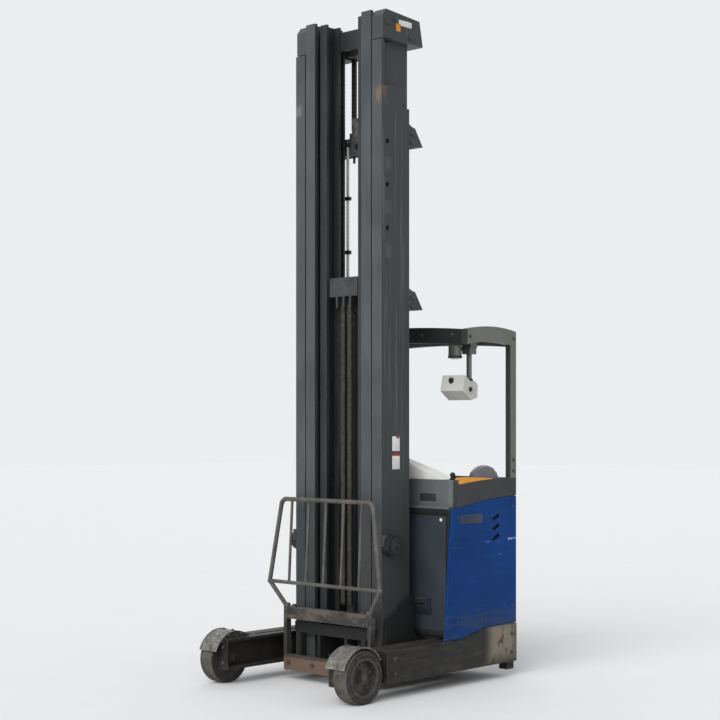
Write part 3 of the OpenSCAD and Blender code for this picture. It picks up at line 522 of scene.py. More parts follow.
def smooth_path(stations: list[Spot], points: int = 24) -> np.ndarray:
    """A smooth curve through stations: cubic pieces whose slopes are half the step between neighbours.

    Args:
        stations: Points that the curve passes.
        points: Points on each piece.

    Returns:
        The curve's points.
    """
    knots = np.array(stations, float)
    slopes = np.gradient(knots, axis=0)
    t = np.linspace(0, 1, points, endpoint=False)[:, None]
    weights = (2 * t**3 - 3 * t**2 + 1, t**3 - 2 * t**2 + t, -2 * t**3 + 3 * t**2, t**3 - t**2)
    ends = zip(knots[:-1], slopes[:-1], knots[1:], slopes[1:])
    pieces = [sum(weight * end for weight, end in zip(weights, four)) for four in ends]
    return np.concatenate(pieces + [knots[-1:]])


class Facing(Enum):
    """Directions that a turned piece can look: the rows are its own X, Y and Z in the part's frame."""

    FRONT = ((0, 1, 0), (0, 0, 1), (1, 0, 0))
    REAR = ((0, -1, 0), (0, 0, 1), (-1, 0, 0))
    LEFT = ((-1, 0, 0), (0, 0, 1), (0, 1, 0))
    RIGHT = ((1, 0, 0), (0, 0, 1), (0, -1, 0))
    UP = ((1, 0, 0), (0, 1, 0), (0, 0, 1))
    DOWN = ((1, 0, 0), (0, -1, 0), (0, 0, -1))


SIDES = ((1, Facing.LEFT), (-1, Facing.RIGHT))


def hex_bolt(across: float, facing: Facing) -> Shell:
    """A chamfered six-sided head on a round washer, its underside at the origin.

    Args:
        across: Width over the head's corners.
        facing: Where the head looks.

    Returns:
        The bolt's shell.
    """
    r = across / 2
    washer = lathe([(1.25 * r, 0), (1.25 * r, 0.2 * r), (1.15 * r, 0.28 * r)], 20)
    head = lathe([(r, 0.2 * r), (r, 0.85 * r), (0.82 * r, 1.0 * r)], 6)
    return Shell.join([washer, head]).turned(facing.value)


def at(behind: float, left: float, up: float) -> np.ndarray:
    """A point from its distance behind the load axle, to the left and above the floor."""
    return np.array([AXLE_X - behind, left, up])


def on_side(left: float, *places: tuple[float, float]) -> list[np.ndarray]:
    """Points on one side of the truck, each from its distance behind the load axle and above the floor."""
    return [at(behind, left, up) for behind, up in places]


def turned_piece(profile: Profile, spot: np.ndarray, facing: Facing, sides: int = 32) -> Shell:
    """A profile of (radius, height) turned about the axis that it faces along, from a spot."""
    return lathe(profile, sides).turned(facing.value).moved(spot)


def bolt_set(spots: list[np.ndarray], across: float, facing: Facing) -> Shell:
    """Bolt heads of one size, one at each spot."""
    return hex_bolt(across, facing).copies(np.array(spots))


def bolts_both_sides(spots: list[np.ndarray], across: float) -> list[Shell]:
    """Bolt heads on the truck's left side, and the same on its right side."""
    mirrored = [spot * (1, -1, 1) for spot in spots]
    return [bolt_set(spots, across, Facing.LEFT), bolt_set(mirrored, across, Facing.RIGHT)]


def leaf_chain(foot: np.ndarray, length: float, half: float, width: float, pitch: float = 0.0254,
               plates: int = 5) -> Shell:
    """A run of leaf chain straight up: plates whose half depth swells as |cos| in each link, and pins.

    Args:
        foot: Middle of the lower end.
        length: Length of the run.
        half: Half the depth of a plate at its widest.
        width: Width over the plates.
        pitch: Length of a link.
        plates: Number of plates side by side.

    Returns:
        The run's shell.
    """
    links = int(length / pitch)
    rise = np.linspace(0.0, links * pitch, links * 4 + 1)
    corner = np.array([(-1, 0), (1, 0), (1, 1), (-1, 1)], float)
    shells = []
    for index in range(plates):
        swell = half * (0.76 + 0.24 * np.abs(np.cos(math.pi * rise / pitch + index * math.pi / 2)))
        across = -width / 2 + (index + 0.85 * corner[:, 1]) * width / plates
        x = swell[:, None] * corner[:, 0]
        shells.append(tube(np.stack(np.broadcast_arrays(x, across, rise[:, None]), axis=-1)))
    pin = lathe([(0.0035, 0), (0.0035, width + 0.004)], 8).turned(Facing.LEFT.value)
    steps = np.arange(links) * pitch + pitch / 2
    spots = np.stack([np.zeros(links), np.full(links, -width / 2 - 0.002), steps], axis=-1)
    return Shell.join(shells + [pin.copies(spots)]).moved(foot)


def linked(name: str, data: bpy.types.ID) -> bpy.types.Object:
    """Make an object of a mesh, a lamp or a camera and put it into the scene."""
    made = bpy.data.objects.new(name, data)
    bpy.context.scene.collection.objects.link(made)
    return made


class Slot(Enum):
    """Material slots of the record; nothing in the script reads them."""

    STEEL = "bare_steel"
    CHAIN = "chain_steel"
    PALE = "pale_plastic"
    YELLOW = "yellow_plastic"
    BLACK = "black_plastic"
    CARRIAGE = "carriage_rust"
    COVER = "cover_metal"
    FRAME = "frame_paint"
    DARK = "dark_plastic"
    VINYL = "seat_vinyl"
    TYRE = "load_tyre"
    HOSE = "hose_rubber"


@dataclass
class Workshop:
    """Holds the finishes as materials and turns shells into pieces that ride on bodies."""

    materials: dict[str, bpy.types.Material] = field(default_factory=dict)
    made: int = 0

    def material(self, finish: Finish) -> bpy.types.Material:
        """Return a finish's material, built at its first use."""
        if finish.name not in self.materials:
            self.materials[finish.name] = finish.build()
        return self.materials[finish.name]

    def dress(self, frame: dict, finish: Finish, *nodes: str) -> None:
        """Give a finish to solids of the part.

        Args:
            frame: The loaded frame.
            finish: Their finish.
            nodes: The solids' names.
        """
        for name in nodes:
            mesh = frame["nodes"][name].data
            mesh.materials.clear()
            mesh.materials.append(self.material(finish))

    def piece(self, name: str, shells: Shell | list[Shell], finish: Finish, body: str,
              smooth: float = 35.0) -> None:
        """Make a piece from a shell, or from several as one.

        Args:
            name: Its name.
            shells: Its mesh or meshes.
            finish: Its finish.
            body: The body that it rides on.
            smooth: Edges flatter than this angle in degrees are shaded smooth.
        """
        shell = shells if isinstance(shells, Shell) else Shell.join(shells)
        mesh = bpy.data.meshes.new(name)
        faces = shell.quads.tolist() + [cap.tolist() for cap in shell.caps]
        mesh.from_pydata(shell.points.tolist(), [], faces)
        mesh.polygons.foreach_set("use_smooth", np.ones(len(mesh.polygons), bool))
        mesh.set_sharp_from_angle(angle=math.radians(smooth))
        mesh.materials.append(self.material(finish))
        made = linked(name, mesh)
        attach(made, body)
        self.made += 1
        LOG.info("piece %s: %d faces on %s", name, len(mesh.polygons), body)


@dataclass
class Studio:
    """Pale floor, soft light and the camera at the photograph's angle."""

    camera_spot: Spot = (7.2985, 6.779, 1.654)
    view_turn: float = 42.909
    focal_pixels: float = 1558.19
    frame_pixels: float = 720.0
    horizon_pixel: float = 420.77
    sensor: float = 36.0
    far_clip: float = 200.0
    floor_half: float = 40.0
    floor_tones: tuple[float, float] = (0.84, 0.88)
    floor_roughness: float = 0.75
    sky_colour: Colour = (0.95, 0.97, 1.0)
    backdrop: float = 0.88
    sky: float = 0.48
    lamps: tuple[tuple[str, Spot, float, float], ...] = (
        ("front", (-0.78, -0.22, -0.58), 50.0, 2.3), ("back", (0.7, 0.45, -0.55), 70.0, 0.35))

    def floor(self) -> None:
        """Lay a wide floor at Z = 0 that looks the backdrop's white to the camera and keeps the shadow."""
        half = self.floor_half
        corners = [(-half, -half, 0), (half, -half, 0), (half, half, 0), (-half, half, 0)]
        mesh = bpy.data.meshes.new("floor")
        mesh.from_pydata(corners, [], [(0, 1, 2, 3)])
        material = bpy.data.materials.new("pale floor")
        material.use_nodes = True
        canvas = Canvas(material.node_tree)
        shader = canvas.find("BSDF_PRINCIPLED")
        tones = [(tone,) * 3 for tone in self.floor_tones]
        canvas.put(shader.inputs["Base Color"], canvas.mix(canvas.noise(canvas.place(), 3.0), *tones))
        shader.inputs["Roughness"].default_value = self.floor_roughness
        mesh.materials.append(material)
        made = linked("floor", mesh)

    def light(self) -> None:
        """Light evenly from the sky and from far broad lamps, so that the floor has no edge of light."""
        world = bpy.data.worlds.new("studio")
        bpy.context.scene.world = world
        world.use_nodes = True
        canvas = Canvas(world.node_tree)
        ground = canvas.find("BACKGROUND")
        canvas.put(ground.inputs["Color"], self.sky_colour)
        path = canvas.node("ShaderNodeLightPath")
        mirrored = canvas.math("MAXIMUM", path.outputs["Is Glossy Ray"], path.outputs["Is Transmission Ray"])
        seen = canvas.math("MAXIMUM", path.outputs["Is Camera Ray"], mirrored)
        canvas.put(ground.inputs["Strength"], canvas.blend(seen, self.sky, self.backdrop))
        for name, aim, spread, strength in self.lamps:
            lamp = bpy.data.lights.new(name, "SUN")
            lamp.angle, lamp.energy = math.radians(spread), strength
            linked(name, lamp).rotation_euler = Vector(aim).to_track_quat("-Z", "Y").to_euler()

    def camera(self) -> None:
        """Set the level camera that the photograph's edges lead back to."""
        lens = bpy.data.cameras.new("camera")
        lens.sensor_width = self.sensor
        lens.lens = self.focal_pixels * self.sensor / self.frame_pixels
        lens.shift_y = (self.horizon_pixel - self.frame_pixels / 2) / self.frame_pixels
        lens.clip_end = self.far_clip
        made = linked("camera", lens)
        turn = math.radians(self.view_turn)
        aim = Vector((-math.cos(turn), -math.sin(turn), 0))
        made.location = self.camera_spot
        made.rotation_euler = aim.to_track_quat("-Z", "Y").to_euler()
        bpy.context.scene.camera = made

    def build(self) -> None:
        """Set up floor, light, camera and the plain view transform."""
        self.floor()
        self.light()
        self.camera()
        bpy.context.scene.view_settings.view_transform = "Standard"


class Paint:
    """The truck's finishes, by where they are."""

    DIRT = srgb(112, 102, 90)
    FRAME = Finish(
        "scuffed frame paint", srgb(31, 32, 32), srgb(24, 25, 25), 5.0, 0.55, 0.15,
        streak_colour=srgb(62, 58, 54), streak_scale=(1.5, 20.0, 30.0), streak_amount=0.35,
        wear_colour=srgb(116, 112, 106), dust_colour=DIRT, dust_amount=0.22, dust_height=0.4, specular=0.2,
        patches=(
            Patch((-0.66, 0.63, 0.25), (0.07, 0.02, 0.05), srgb(140, 131, 114), 0.8, (14.0, 20.0, 9.0), 0.6,
                  0.13),
            Patch((0.1, 0.63, 0.2), (0.6, 0.02, 0.09), srgb(60, 56, 51), 0.45, (4.0, 20.0, 40.0), 0.4)))
    STEEL = Finish(
        "worn bare steel", srgb(78, 76, 73), srgb(50, 48, 46), 18.0, 0.5, 0.2, 0.5,
        wear_colour=srgb(150, 147, 142), dust_colour=srgb(74, 66, 58), dust_amount=0.35, dust_height=0.5)
    COVER = Finish(
        "cover worn to the metal", srgb(116, 114, 108), srgb(82, 79, 75), 22.0, 0.5, 0.15,
        streak_colour=srgb(188, 186, 180), streak_scale=(46.0, 40.0, 46.0), streak_amount=0.6,
        # face_colour here is painted shade on the wheel covers' side faces.
        wear_colour=srgb(186, 184, 178), dust_colour=DIRT, dust_amount=0.1, face_colour=srgb(52, 51, 50))
    BATTERY = Finish("battery trough paint", srgb(44, 46, 48), dust_amount=0.2)
    SLATE = Finish(
        "slate paint", srgb(58, 65, 72), srgb(49, 55, 62), 3.0, 0.45, 0.1, streak_colour=srgb(92, 94, 94),
        streak_scale=(30.0, 24.0, 2.0), streak_amount=0.2, wear_colour=srgb(128, 128, 124),
        wear_amount=0.35, dust_colour=DIRT, dust_amount=0.15, dust_height=0.7)
    BLUE = Finish(
        "scratched blue paint", srgb(2, 58, 122), srgb(2, 50, 106), 2.2, 0.42, 0.08,
        streak_colour=srgb(96, 126, 164), streak_scale=(1.4, 60.0, 170.0), streak_amount=0.12,
        wear_colour=srgb(84, 118, 166), wear_amount=0.45, dust_colour=srgb(74, 82, 94), dust_amount=0.12,
        dust_height=0.65, coat=0.02, specular=0.08,
        patches=tuple(
            Patch((forward, 0.625, up), (length, 0.02, tall), colour, strength, scale, cover, soft)
            for forward, up, length, tall, colour, strength, scale, cover, soft in (
                (-0.42, 0.62, 0.36, 0.30, srgb(150, 172, 200), 0.5, (1.2, 50.0, 150.0), 0.21, 0.05),
                (-0.42, 0.36, 0.40, 0.06, srgb(58, 66, 80), 0.5, (6.0, 20.0, 20.0), 0.45, 0.05),
                (-0.48, 0.885, 0.36, 0.002, srgb(140, 166, 200), 0.6, (16.0, 20.0, 60.0), 0.3, 0.007),
                (-0.60, 0.800, 0.06, 0.002, srgb(120, 150, 190), 0.45, (20.0, 20.0, 60.0), 0.35, 0.008),
                (-0.77, 0.893, 0.04, 0.002, srgb(214, 224, 234), 0.7, (26.0, 20.0, 60.0), 0.45, 0.007),
                (-0.71, 0.470, 0.03, 0.002, srgb(130, 158, 196), 0.5, (26.0, 20.0, 60.0), 0.4, 0.006))))
    HOOD = Finish(
        "grained grey moulding", srgb(100, 104, 104), srgb(90, 93, 93), 4.0, 0.6, 0.08,
        wear_colour=srgb(140, 139, 136), wear_amount=0.35, dust_colour=srgb(150, 144, 134), dust_amount=0.2,
        grain_scale=900.0, grain_depth=0.35, grain_size=0.0008)
    BAND = Finish(
        "grained dark moulding", srgb(55, 56, 57), srgb(46, 47, 48), 4.0, 0.58, 0.08,
        wear_colour=srgb(104, 100, 96), wear_amount=0.35, dust_colour=srgb(128, 120, 110), dust_amount=0.15,
        grain_scale=900.0, grain_depth=0.35, grain_size=0.0008)
    YELLOW = Finish(
        "yellow orange moulding", srgb(232, 158, 60), srgb(214, 138, 44), 8.0, 0.5, 0.1,
        wear_colour=srgb(238, 196, 128), dust_amount=0.1, grain_scale=900.0, grain_depth=0.2)
    VINYL = Finish(
        "dark seat vinyl", srgb(64, 64, 68), srgb(52, 52, 56), 5.0, 0.3, 0.08,
        dust_colour=srgb(110, 106, 100), dust_amount=0.12, grain_scale=520.0, grain_depth=0.3,
        grain_size=0.001, coat=0.2)
    PALE = Finish(
        "pale grey moulding", srgb(194, 194, 189), srgb(180, 180, 174), 5.0, 0.5, 0.08,
        wear_colour=srgb(222, 222, 218), wear_amount=0.3, dust_colour=srgb(160, 154, 144), dust_amount=0.12,
        grain_scale=900.0, grain_depth=0.25, grain_size=0.0008)
    CONSOLE = Finish(
        "pale console moulding", srgb(236, 236, 232), srgb(224, 224, 219), 5.0, 0.5, 0.08, dust_amount=0.06,
        dust_colour=srgb(190, 186, 178), grain_scale=900.0, grain_depth=0.2, grain_size=0.0006)
    DOME = Finish(
        "glossy grey vinyl", srgb(92, 92, 95), srgb(80, 80, 84), 5.0, 0.26, 0.06, dust_amount=0.08,
        grain_scale=420.0, grain_depth=0.25, grain_size=0.001, coat=0.4, specular=0.5)
    BLACK = Finish(
        "black moulding", srgb(36, 37, 39), srgb(29, 29, 31), 6.0, 0.5, 0.12, wear_colour=srgb(70, 70, 70),
        wear_amount=0.35, dust_colour=srgb(104, 98, 90), dust_amount=0.12, grain_scale=700.0,
        grain_depth=0.25)
    GUARD = Finish(
        "grey guard paint", srgb(108, 109, 102), srgb(96, 97, 91), 4.0, 0.48, 0.1,
        wear_colour=srgb(146, 146, 140), wear_amount=0.4, dust_colour=srgb(150, 144, 134), dust_amount=0.2,
        face_colour=srgb(52, 54, 53), face_axis=(1.0, 0.0, 0.0))
    GUARD_DARK = Finish(
        "black guard paint", srgb(36, 38, 38), srgb(30, 31, 32), 4.0, 0.5, 0.1,
        wear_colour=srgb(84, 84, 82), wear_amount=0.4, dust_colour=srgb(120, 115, 106), dust_amount=0.15)
    TYRE = Finish(
        "grey brown polyurethane", srgb(92, 87, 81), srgb(68, 64, 60), 14.0, 0.7, 0.12, specular=0.15,
        face_colour=srgb(50, 48, 46), streak_colour=srgb(112, 104, 96), streak_scale=(24.0, 3.0, 24.0),
        streak_amount=0.5, dust_colour=srgb(88, 81, 73), dust_amount=0.2, dust_height=0.3,
        grain_scale=160.0, grain_depth=0.35, grain_size=0.002)
    TYRE_DARK = Finish(
        "black polyurethane", srgb(42, 39, 36), roughness=0.75, dust_amount=0.3, grain_depth=0.3)
    CASTING = Finish(
        "dark casting", srgb(48, 49, 51), roughness=0.62, dust_amount=0.25, grain_scale=260.0,
        grain_depth=0.4, grain_size=0.0015)
    MAST = Finish(
        "worn mast paint", srgb(76, 80, 82), srgb(64, 68, 70), 3.0, 0.52, 0.14,
        streak_colour=srgb(122, 122, 122), streak_scale=(34.0, 34.0, 0.9), streak_amount=0.35,
        wear_colour=srgb(128, 125, 120), wear_amount=0.45, wear_scale=24.0, dust_colour=DIRT,
        # face_colour here is painted shade on the side faces of the mast rails, beams and head.
        dust_amount=0.12, face_colour=srgb(55, 59, 60),
        patches=(
            Patch((0.211, 0.340, 3.66), (0.02, 0.008, 0.025), srgb(136, 108, 80), 0.55, (40.0, 30.0, 9.0),
                  0.5, 0.045),
            Patch((0.211, -0.345, 3.65), (0.02, 0.008, 0.015), srgb(150, 148, 142), 0.5, (40.0, 30.0, 9.0),
                  0.5, 0.035),
            Patch((0.08, 0.0, 0.45), (0.3, 0.5, 0.40), srgb(46, 47, 47), 0.55, (9.0, 9.0, 1.6), 0.7, 0.4),
            *(Patch((0.150, 0.372, up), (0.008, 0.01, 0.02), srgb(96, 96, 94), 0.4, (30.0, 20.0, 10.0), 0.5,
                    0.035) for up in (3.24, 2.97, 2.70))))
    INNER = Finish(
        "greased rail paint", srgb(52, 54, 55), srgb(40, 42, 43), 3.0, 0.5, 0.14,
        streak_colour=srgb(96, 95, 92), streak_scale=(34.0, 34.0, 0.9), streak_amount=0.35,
        wear_colour=srgb(116, 113, 108), wear_amount=0.45, wear_scale=24.0, dust_colour=DIRT,
        # face_colour here is painted shade on the inner rails' side faces.
        dust_amount=0.1, face_colour=srgb(40, 42, 43))
    # Dark paint on the carriage plates and the reach frame, made darker still as painted shade for their
    # recessed places.
    RECESS_SHADE = Finish(
        "greased dark paint", srgb(34, 35, 36), srgb(27, 28, 28), 5.0, 0.5, 0.14, wear_amount=0.4,
        wear_colour=srgb(98, 94, 88), dust_colour=DIRT, dust_amount=0.1, specular=0.2)
    CYLINDER = Finish(
        "black cylinder paint", srgb(44, 46, 47), roughness=0.45, wear_colour=srgb(100, 98, 94),
        streak_colour=srgb(76, 71, 65), streak_scale=(30.0, 30.0, 1.0), dust_amount=0.15)
    ROD = Finish(
        "oiled rod", srgb(84, 85, 86), srgb(66, 67, 68), 8.0, 0.3, 0.08, 0.7, dust_amount=0.05,
        grain_depth=0.01)
    CHAIN = Finish(
        "oiled leaf chain", srgb(76, 73, 68), srgb(48, 46, 42), 60.0, 0.42, 0.15, 0.55,
        wear_colour=srgb(156, 152, 145), wear_radius=0.0015, dust_colour=srgb(64, 54, 44), dust_amount=0.25)
    PIPE = Finish(
        "plated pipe", srgb(222, 222, 218), srgb(198, 196, 190), 7.0, 0.4, 0.1, 0.1, dust_amount=0.05)
    HOSE = Finish(
        "black hose", srgb(28, 29, 30), roughness=0.55, dust_amount=0.15, grain_scale=800.0,
        grain_depth=0.3)
    CARRIAGE = Finish(
        "worn carriage paint", srgb(60, 58, 56), srgb(44, 43, 41), 7.0, 0.58, 0.14,
        streak_colour=srgb(112, 84, 62), streak_scale=(18.0, 7.0, 26.0), streak_amount=0.4,
        wear_colour=srgb(136, 126, 116), wear_amount=0.5, dust_colour=DIRT, dust_amount=0.12,
        patches=(
            Patch((0.31, 0.0, 0.43), (0.03, 0.4, 0.05), srgb(112, 100, 90), 0.55, (30.0, 9.0, 30.0), 0.42),
            Patch((0.31, 0.0, 0.10), (0.03, 0.4, 0.035), srgb(122, 96, 78), 0.6, (12.0, 4.0, 24.0), 0.55)))
    BACKREST = Finish(
        "rubbed tube paint", srgb(90, 88, 84), srgb(72, 69, 66), 12.0, 0.52, 0.14,
        streak_colour=srgb(112, 94, 78), streak_scale=(20.0, 8.0, 8.0), streak_amount=0.35,
        wear_colour=srgb(140, 136, 130), dust_amount=0.05)
    RUBBER = Finish(
        "black rubber", srgb(26, 26, 27), roughness=0.7, dust_amount=0.2, grain_scale=600.0,
        grain_depth=0.3)
    GLASS = Finish(
        "dark screen", srgb(24, 28, 32), roughness=0.12, roughness_spread=0.03, dust_amount=0.08,
        grain_depth=0.0, coat=0.6)
    LENS = Finish(
        "lamp lens", srgb(206, 208, 204), roughness=0.2, roughness_spread=0.05, dust_amount=0.1,
        grain_depth=0.02, coat=0.5)
    LABEL = Finish(
        "blank white plate", srgb(226, 226, 222), srgb(206, 205, 200), 14.0, 0.45, 0.08,
        wear_colour=srgb(150, 146, 140), dust_amount=0.05, grain_depth=0.01)
    RED = Finish(
        "red band", srgb(146, 52, 50), srgb(128, 46, 46), 14.0, 0.5, 0.08, dust_amount=0.05,
        grain_depth=0.01)
    BADGE = Finish(
        "blank dark plate", srgb(44, 56, 78), srgb(38, 48, 68), 10.0, 0.4, 0.08, dust_amount=0.08,
        grain_depth=0.02)
    ORANGE = Finish(
        "orange plate", srgb(226, 150, 48), srgb(206, 130, 40), 16.0, 0.5, 0.08, dust_amount=0.05,
        grain_depth=0.02)
    BOLT = Finish(
        "dull bolt steel", srgb(82, 82, 81), srgb(58, 57, 55), 60.0, 0.5, 0.15, 0.5,
        wear_colour=srgb(140, 138, 134), wear_radius=0.0015, dust_colour=srgb(70, 62, 54), dust_amount=0.2)
    BRIGHT = Finish(
        "bright worn metal", srgb(126, 125, 121), srgb(94, 92, 88), 30.0, 0.4, 0.12, 0.3, dust_amount=0.05)


@dataclass
class MastDetail:
    """Small pieces on the mast stages: chains, anchors, bolts, plates, brackets, cap rims and clamps."""

    rail_side: float = 0.372
    chain_side: float = 0.175
    chain_width: float = 0.036
    chain_half: float = 0.0080
    front_chain: float = 0.6635
    rear_chain: float = 0.7755
    beam_up: tuple[float, float] = (3.378, 2.352)
    head_up: float = 4.008
    cap_behind: float = 0.505
    cap_up: float = 0.884
    pipe_behind: float = 0.7303
    pipe_left: float = -0.190
    hose_left: float = 0.214

    def chains(self, shop: Workshop) -> None:
        """Link plates and pins on the mast chains and on the chains of the free lift."""
        runs = [leaf_chain(at(behind, side * self.chain_side, foot), rise, self.chain_half, self.chain_width)
                for behind, foot, rise in ((self.front_chain, 0.372, 3.70), (self.rear_chain, 3.545, 0.54))
                for side in (-1, 1)]
        shop.piece("mast_chain_links", runs, Paint.CHAIN, "middle_mast")
        free = [leaf_chain(at(0.519, side * 0.029, 0.50), 1.93, self.chain_half, 0.032) for side in (-1, 1)]
        shop.piece("lift_chain_links", free, Paint.CHAIN, "crosshead")

    def anchors(self, shop: Workshop) -> None:
        """Threaded ends with two nuts under the mast chains, and plates and hole plugs on the upper beam."""
        rod = [(0.009, -0.085), (0.009, 0.0)]
        nuts = [(0.017, 0.0), (0.017, 0.014), (0.014, 0.016), (0.014, 0.020), (0.017, 0.022), (0.017, 0.036)]
        shells = []
        for side in (-1, 1):
            spot = at(self.rear_chain, side * self.chain_side, self.beam_up[0] + 0.040)
            shells += [turned_piece(rod, spot, Facing.UP, 12),
                       turned_piece(nuts, spot - (0, 0, 0.04), Facing.UP, 6)]
        shop.piece("chain_anchor_nuts", shells, Paint.BOLT, "outer_mast")
        stand = self.beam_up[0] + 0.165
        plates = [rounded_box(at(0.747, -0.100, stand), (0.007, 0.062, 0.075), 0.003),
                  rounded_box(at(0.747, 0.040, stand), (0.007, 0.050, 0.085), 0.003)]
        shop.piece("anchor_plates", plates, Paint.BRIGHT, "outer_mast")
        plug = [(0.020, 0.0), (0.020, 0.004), (0.014, 0.005)]
        plugs = [turned_piece(plug, at(0.7395, left, self.beam_up[0] + 0.055), Facing.FRONT, 20)
                 for left in (-0.115, 0.095)]
        shop.piece("beam_hole_plugs", plugs, Paint.RUBBER, "outer_mast")

    def bolts(self, shop: Workshop) -> None:
        """Bolt heads on the beams' cheeks and on the head, and the head's stop plate and buffers."""
        cheeks = [at(0.716, self.rail_side, up + rise) for up in self.beam_up for rise in (0.02, 0.07)]
        shop.piece("outer_mast_bolts", bolts_both_sides(cheeks, 0.026), Paint.BOLT, "outer_mast")
        head = [at(behind, self.rail_side, self.head_up + rise)
                for behind, rise in ((0.49, 0.10), (0.56, 0.13), (0.70, 0.04))]
        shells = bolts_both_sides(head, 0.028) + [bolt_set([at(0.677, -0.262, 4.10)], 0.040, Facing.FRONT)]
        plate = rounded_box(at(0.689, -0.262, 4.10), (0.012, 0.058, 0.052), 0.006)
        shop.piece("mast_head_stop", plate, Paint.BRIGHT, "middle_mast")
        pads = [rounded_box(at(0.500, side * 0.356, self.head_up - 0.004), (0.034, 0.018, 0.009), 0.004)
                for side in (-1, 1)]
        shop.piece("mast_head_buffers", pads, Paint.RUBBER, "middle_mast")
        shop.piece("mast_head_bolts", shells, Paint.BOLT, "middle_mast")

    def plates(self, shop: Workshop) -> None:
        """Blank plates with red bands on the left rail, and a plate and an orange mark on the head."""
        side = self.rail_side + 0.0008
        low = [rounded_box(at(0.568, side, up), (0.034, 0.0016, 0.046), 0.0015) for up in (1.400, 1.512)]
        shop.piece("mast_side_plates", low, Paint.LABEL, "outer_mast")
        bands = [rounded_box(at(0.568, side + 0.0012, 1.446), (0.034, 0.0012, 0.009), 0.001),
                 rounded_box(at(0.584, side + 0.0012, 1.557), (0.013, 0.0012, 0.012), 0.001)]
        shop.piece("mast_plate_bands", bands, Paint.RED, "outer_mast")
        top = rounded_box(at(0.655, side, self.head_up + 0.118), (0.060, 0.0016, 0.018), 0.0015)
        shop.piece("mast_head_plate", top, Paint.LABEL, "middle_mast")
        mark = rounded_box(at(0.590, side, self.head_up + 0.085), (0.020, 0.0016, 0.024), 0.0015)
        shop.piece("mast_head_mark", mark, Paint.ORANGE, "middle_mast")

    def caps(self, shop: Workshop) -> None:
        """Brackets by the side caps, with the caps' rims and centre bolts."""
        rim = [(0.050, 0), (0.050, 0.004), (0.044, 0.006), (0.024, 0.006), (0.020, 0.011)]
        brackets, rims = [], []
        for side, facing in SIDES:
            spot = at(self.cap_behind - 0.052, side * (self.rail_side + 0.012), self.cap_up + 0.035)
            brackets.append(rounded_box(spot, (0.022, 0.012, 0.036), 0.004))
            disc = at(self.cap_behind, side * (self.rail_side + 0.060), self.cap_up)
            rims += [turned_piece(rim, disc, facing),
                     hex_bolt(0.028, facing).moved(disc + (0, side * 0.011, 0))]
        shop.piece("cap_brackets", brackets, Paint.BOLT, "outer_mast")
        shop.piece("cap_rims", rims, Paint.BLACK, "outer_mast")

    def pipes(self, shop: Workshop) -> None:
        """Clamps and unions on the oil pipe and the hoses behind the mast."""
        union = [(0.0105, 0), (0.017, 0.001), (0.017, 0.030), (0.0105, 0.032)]
        shells = [turned_piece(union, at(self.pipe_behind, self.pipe_left, up), Facing.UP, 6)
                  for up in (2.372, 3.436)]
        shells += [rounded_box(at(self.pipe_behind, self.pipe_left, up), (0.013, 0.022, 0.012), 0.003)
                   for up in (2.75, 3.10)]
        shells += [rounded_box(at(self.pipe_behind, side * self.hose_left, up), (0.013, 0.040, 0.012), 0.003)
                   for side in (-1, 1) for up in (0.8, 1.3, 1.8)]
        shop.piece("pipe_clamps", shells, Paint.BLACK, "outer_mast")

    def build(self, shop: Workshop) -> None:
        """Make every piece of the mast."""
        self.chains(shop)
        self.anchors(shop)
        self.bolts(shop)
        self.plates(shop)
        self.caps(shop)
        self.pipes(shop)


@dataclass
class CarriageDetail:
    """Small pieces on the fork frame: welds, bolts, pin heads and the backrest's feet."""

    face: float = 0.330
    half_bar: float = 0.377
    bar_top: float = 0.470

    def welds(self, shop: Workshop) -> None:
        """Beads of weld where the bars meet the side plates: round pipes along a wavy path."""
        share = np.linspace(0.0, 1.0, 40)
        ripple = np.stack([0.0012 * np.sin(40 * share), 0.0015 * np.sin(60 * share), 0 * share], axis=-1)
        shells = []
        for side in (-1, 1):
            for low, high in ((0.392, 0.470), (0.063, 0.163)):
                rise = share[:, None] * (0, 0, high - low)
                foot = at(self.face - 0.001, side * (self.half_bar - 0.026), low)
                shells.append(pipe(foot + ripple + rise, 0.005, 8))
        shop.piece("fork_frame_welds", shells, Paint.CARRIAGE, "fork_carriage")

    def bolts(self, shop: Workshop) -> None:
        """Bolts on the upper and lower bars, a head on each tilt pin and collars at the backrest's feet."""
        tops = [at(self.face + 0.018, side * 0.30, self.bar_top) for side in (-1, 1)]
        face = [at(self.face, side * y, 0.113) for side in (-1, 1) for y in (0.12, 0.33)]
        shells = [bolt_set(tops, 0.030, Facing.UP), bolt_set(face, 0.024, Facing.FRONT)]
        head = [(0.021, 0), (0.021, 0.006), (0.016, 0.009)]
        shells += [turned_piece(head, at(0.390, side * 0.302, 0.115), facing) for side, facing in SIDES]
        shop.piece("fork_frame_bolts", shells, Paint.BOLT, "fork_carriage")
        foot = [(0.020, 0), (0.020, 0.012), (0.0155, 0.020)]
        feet = [turned_piece(foot, at(self.face + 0.0135, side * 0.357, self.bar_top), Facing.UP)
                for side in (-1, 1)]
        shop.piece("backrest_feet", feet, Paint.BACKREST, "fork_carriage")

    def build(self, shop: Workshop) -> None:
        """Make every piece of the carriage."""
        self.welds(shop)
        self.bolts(shop)


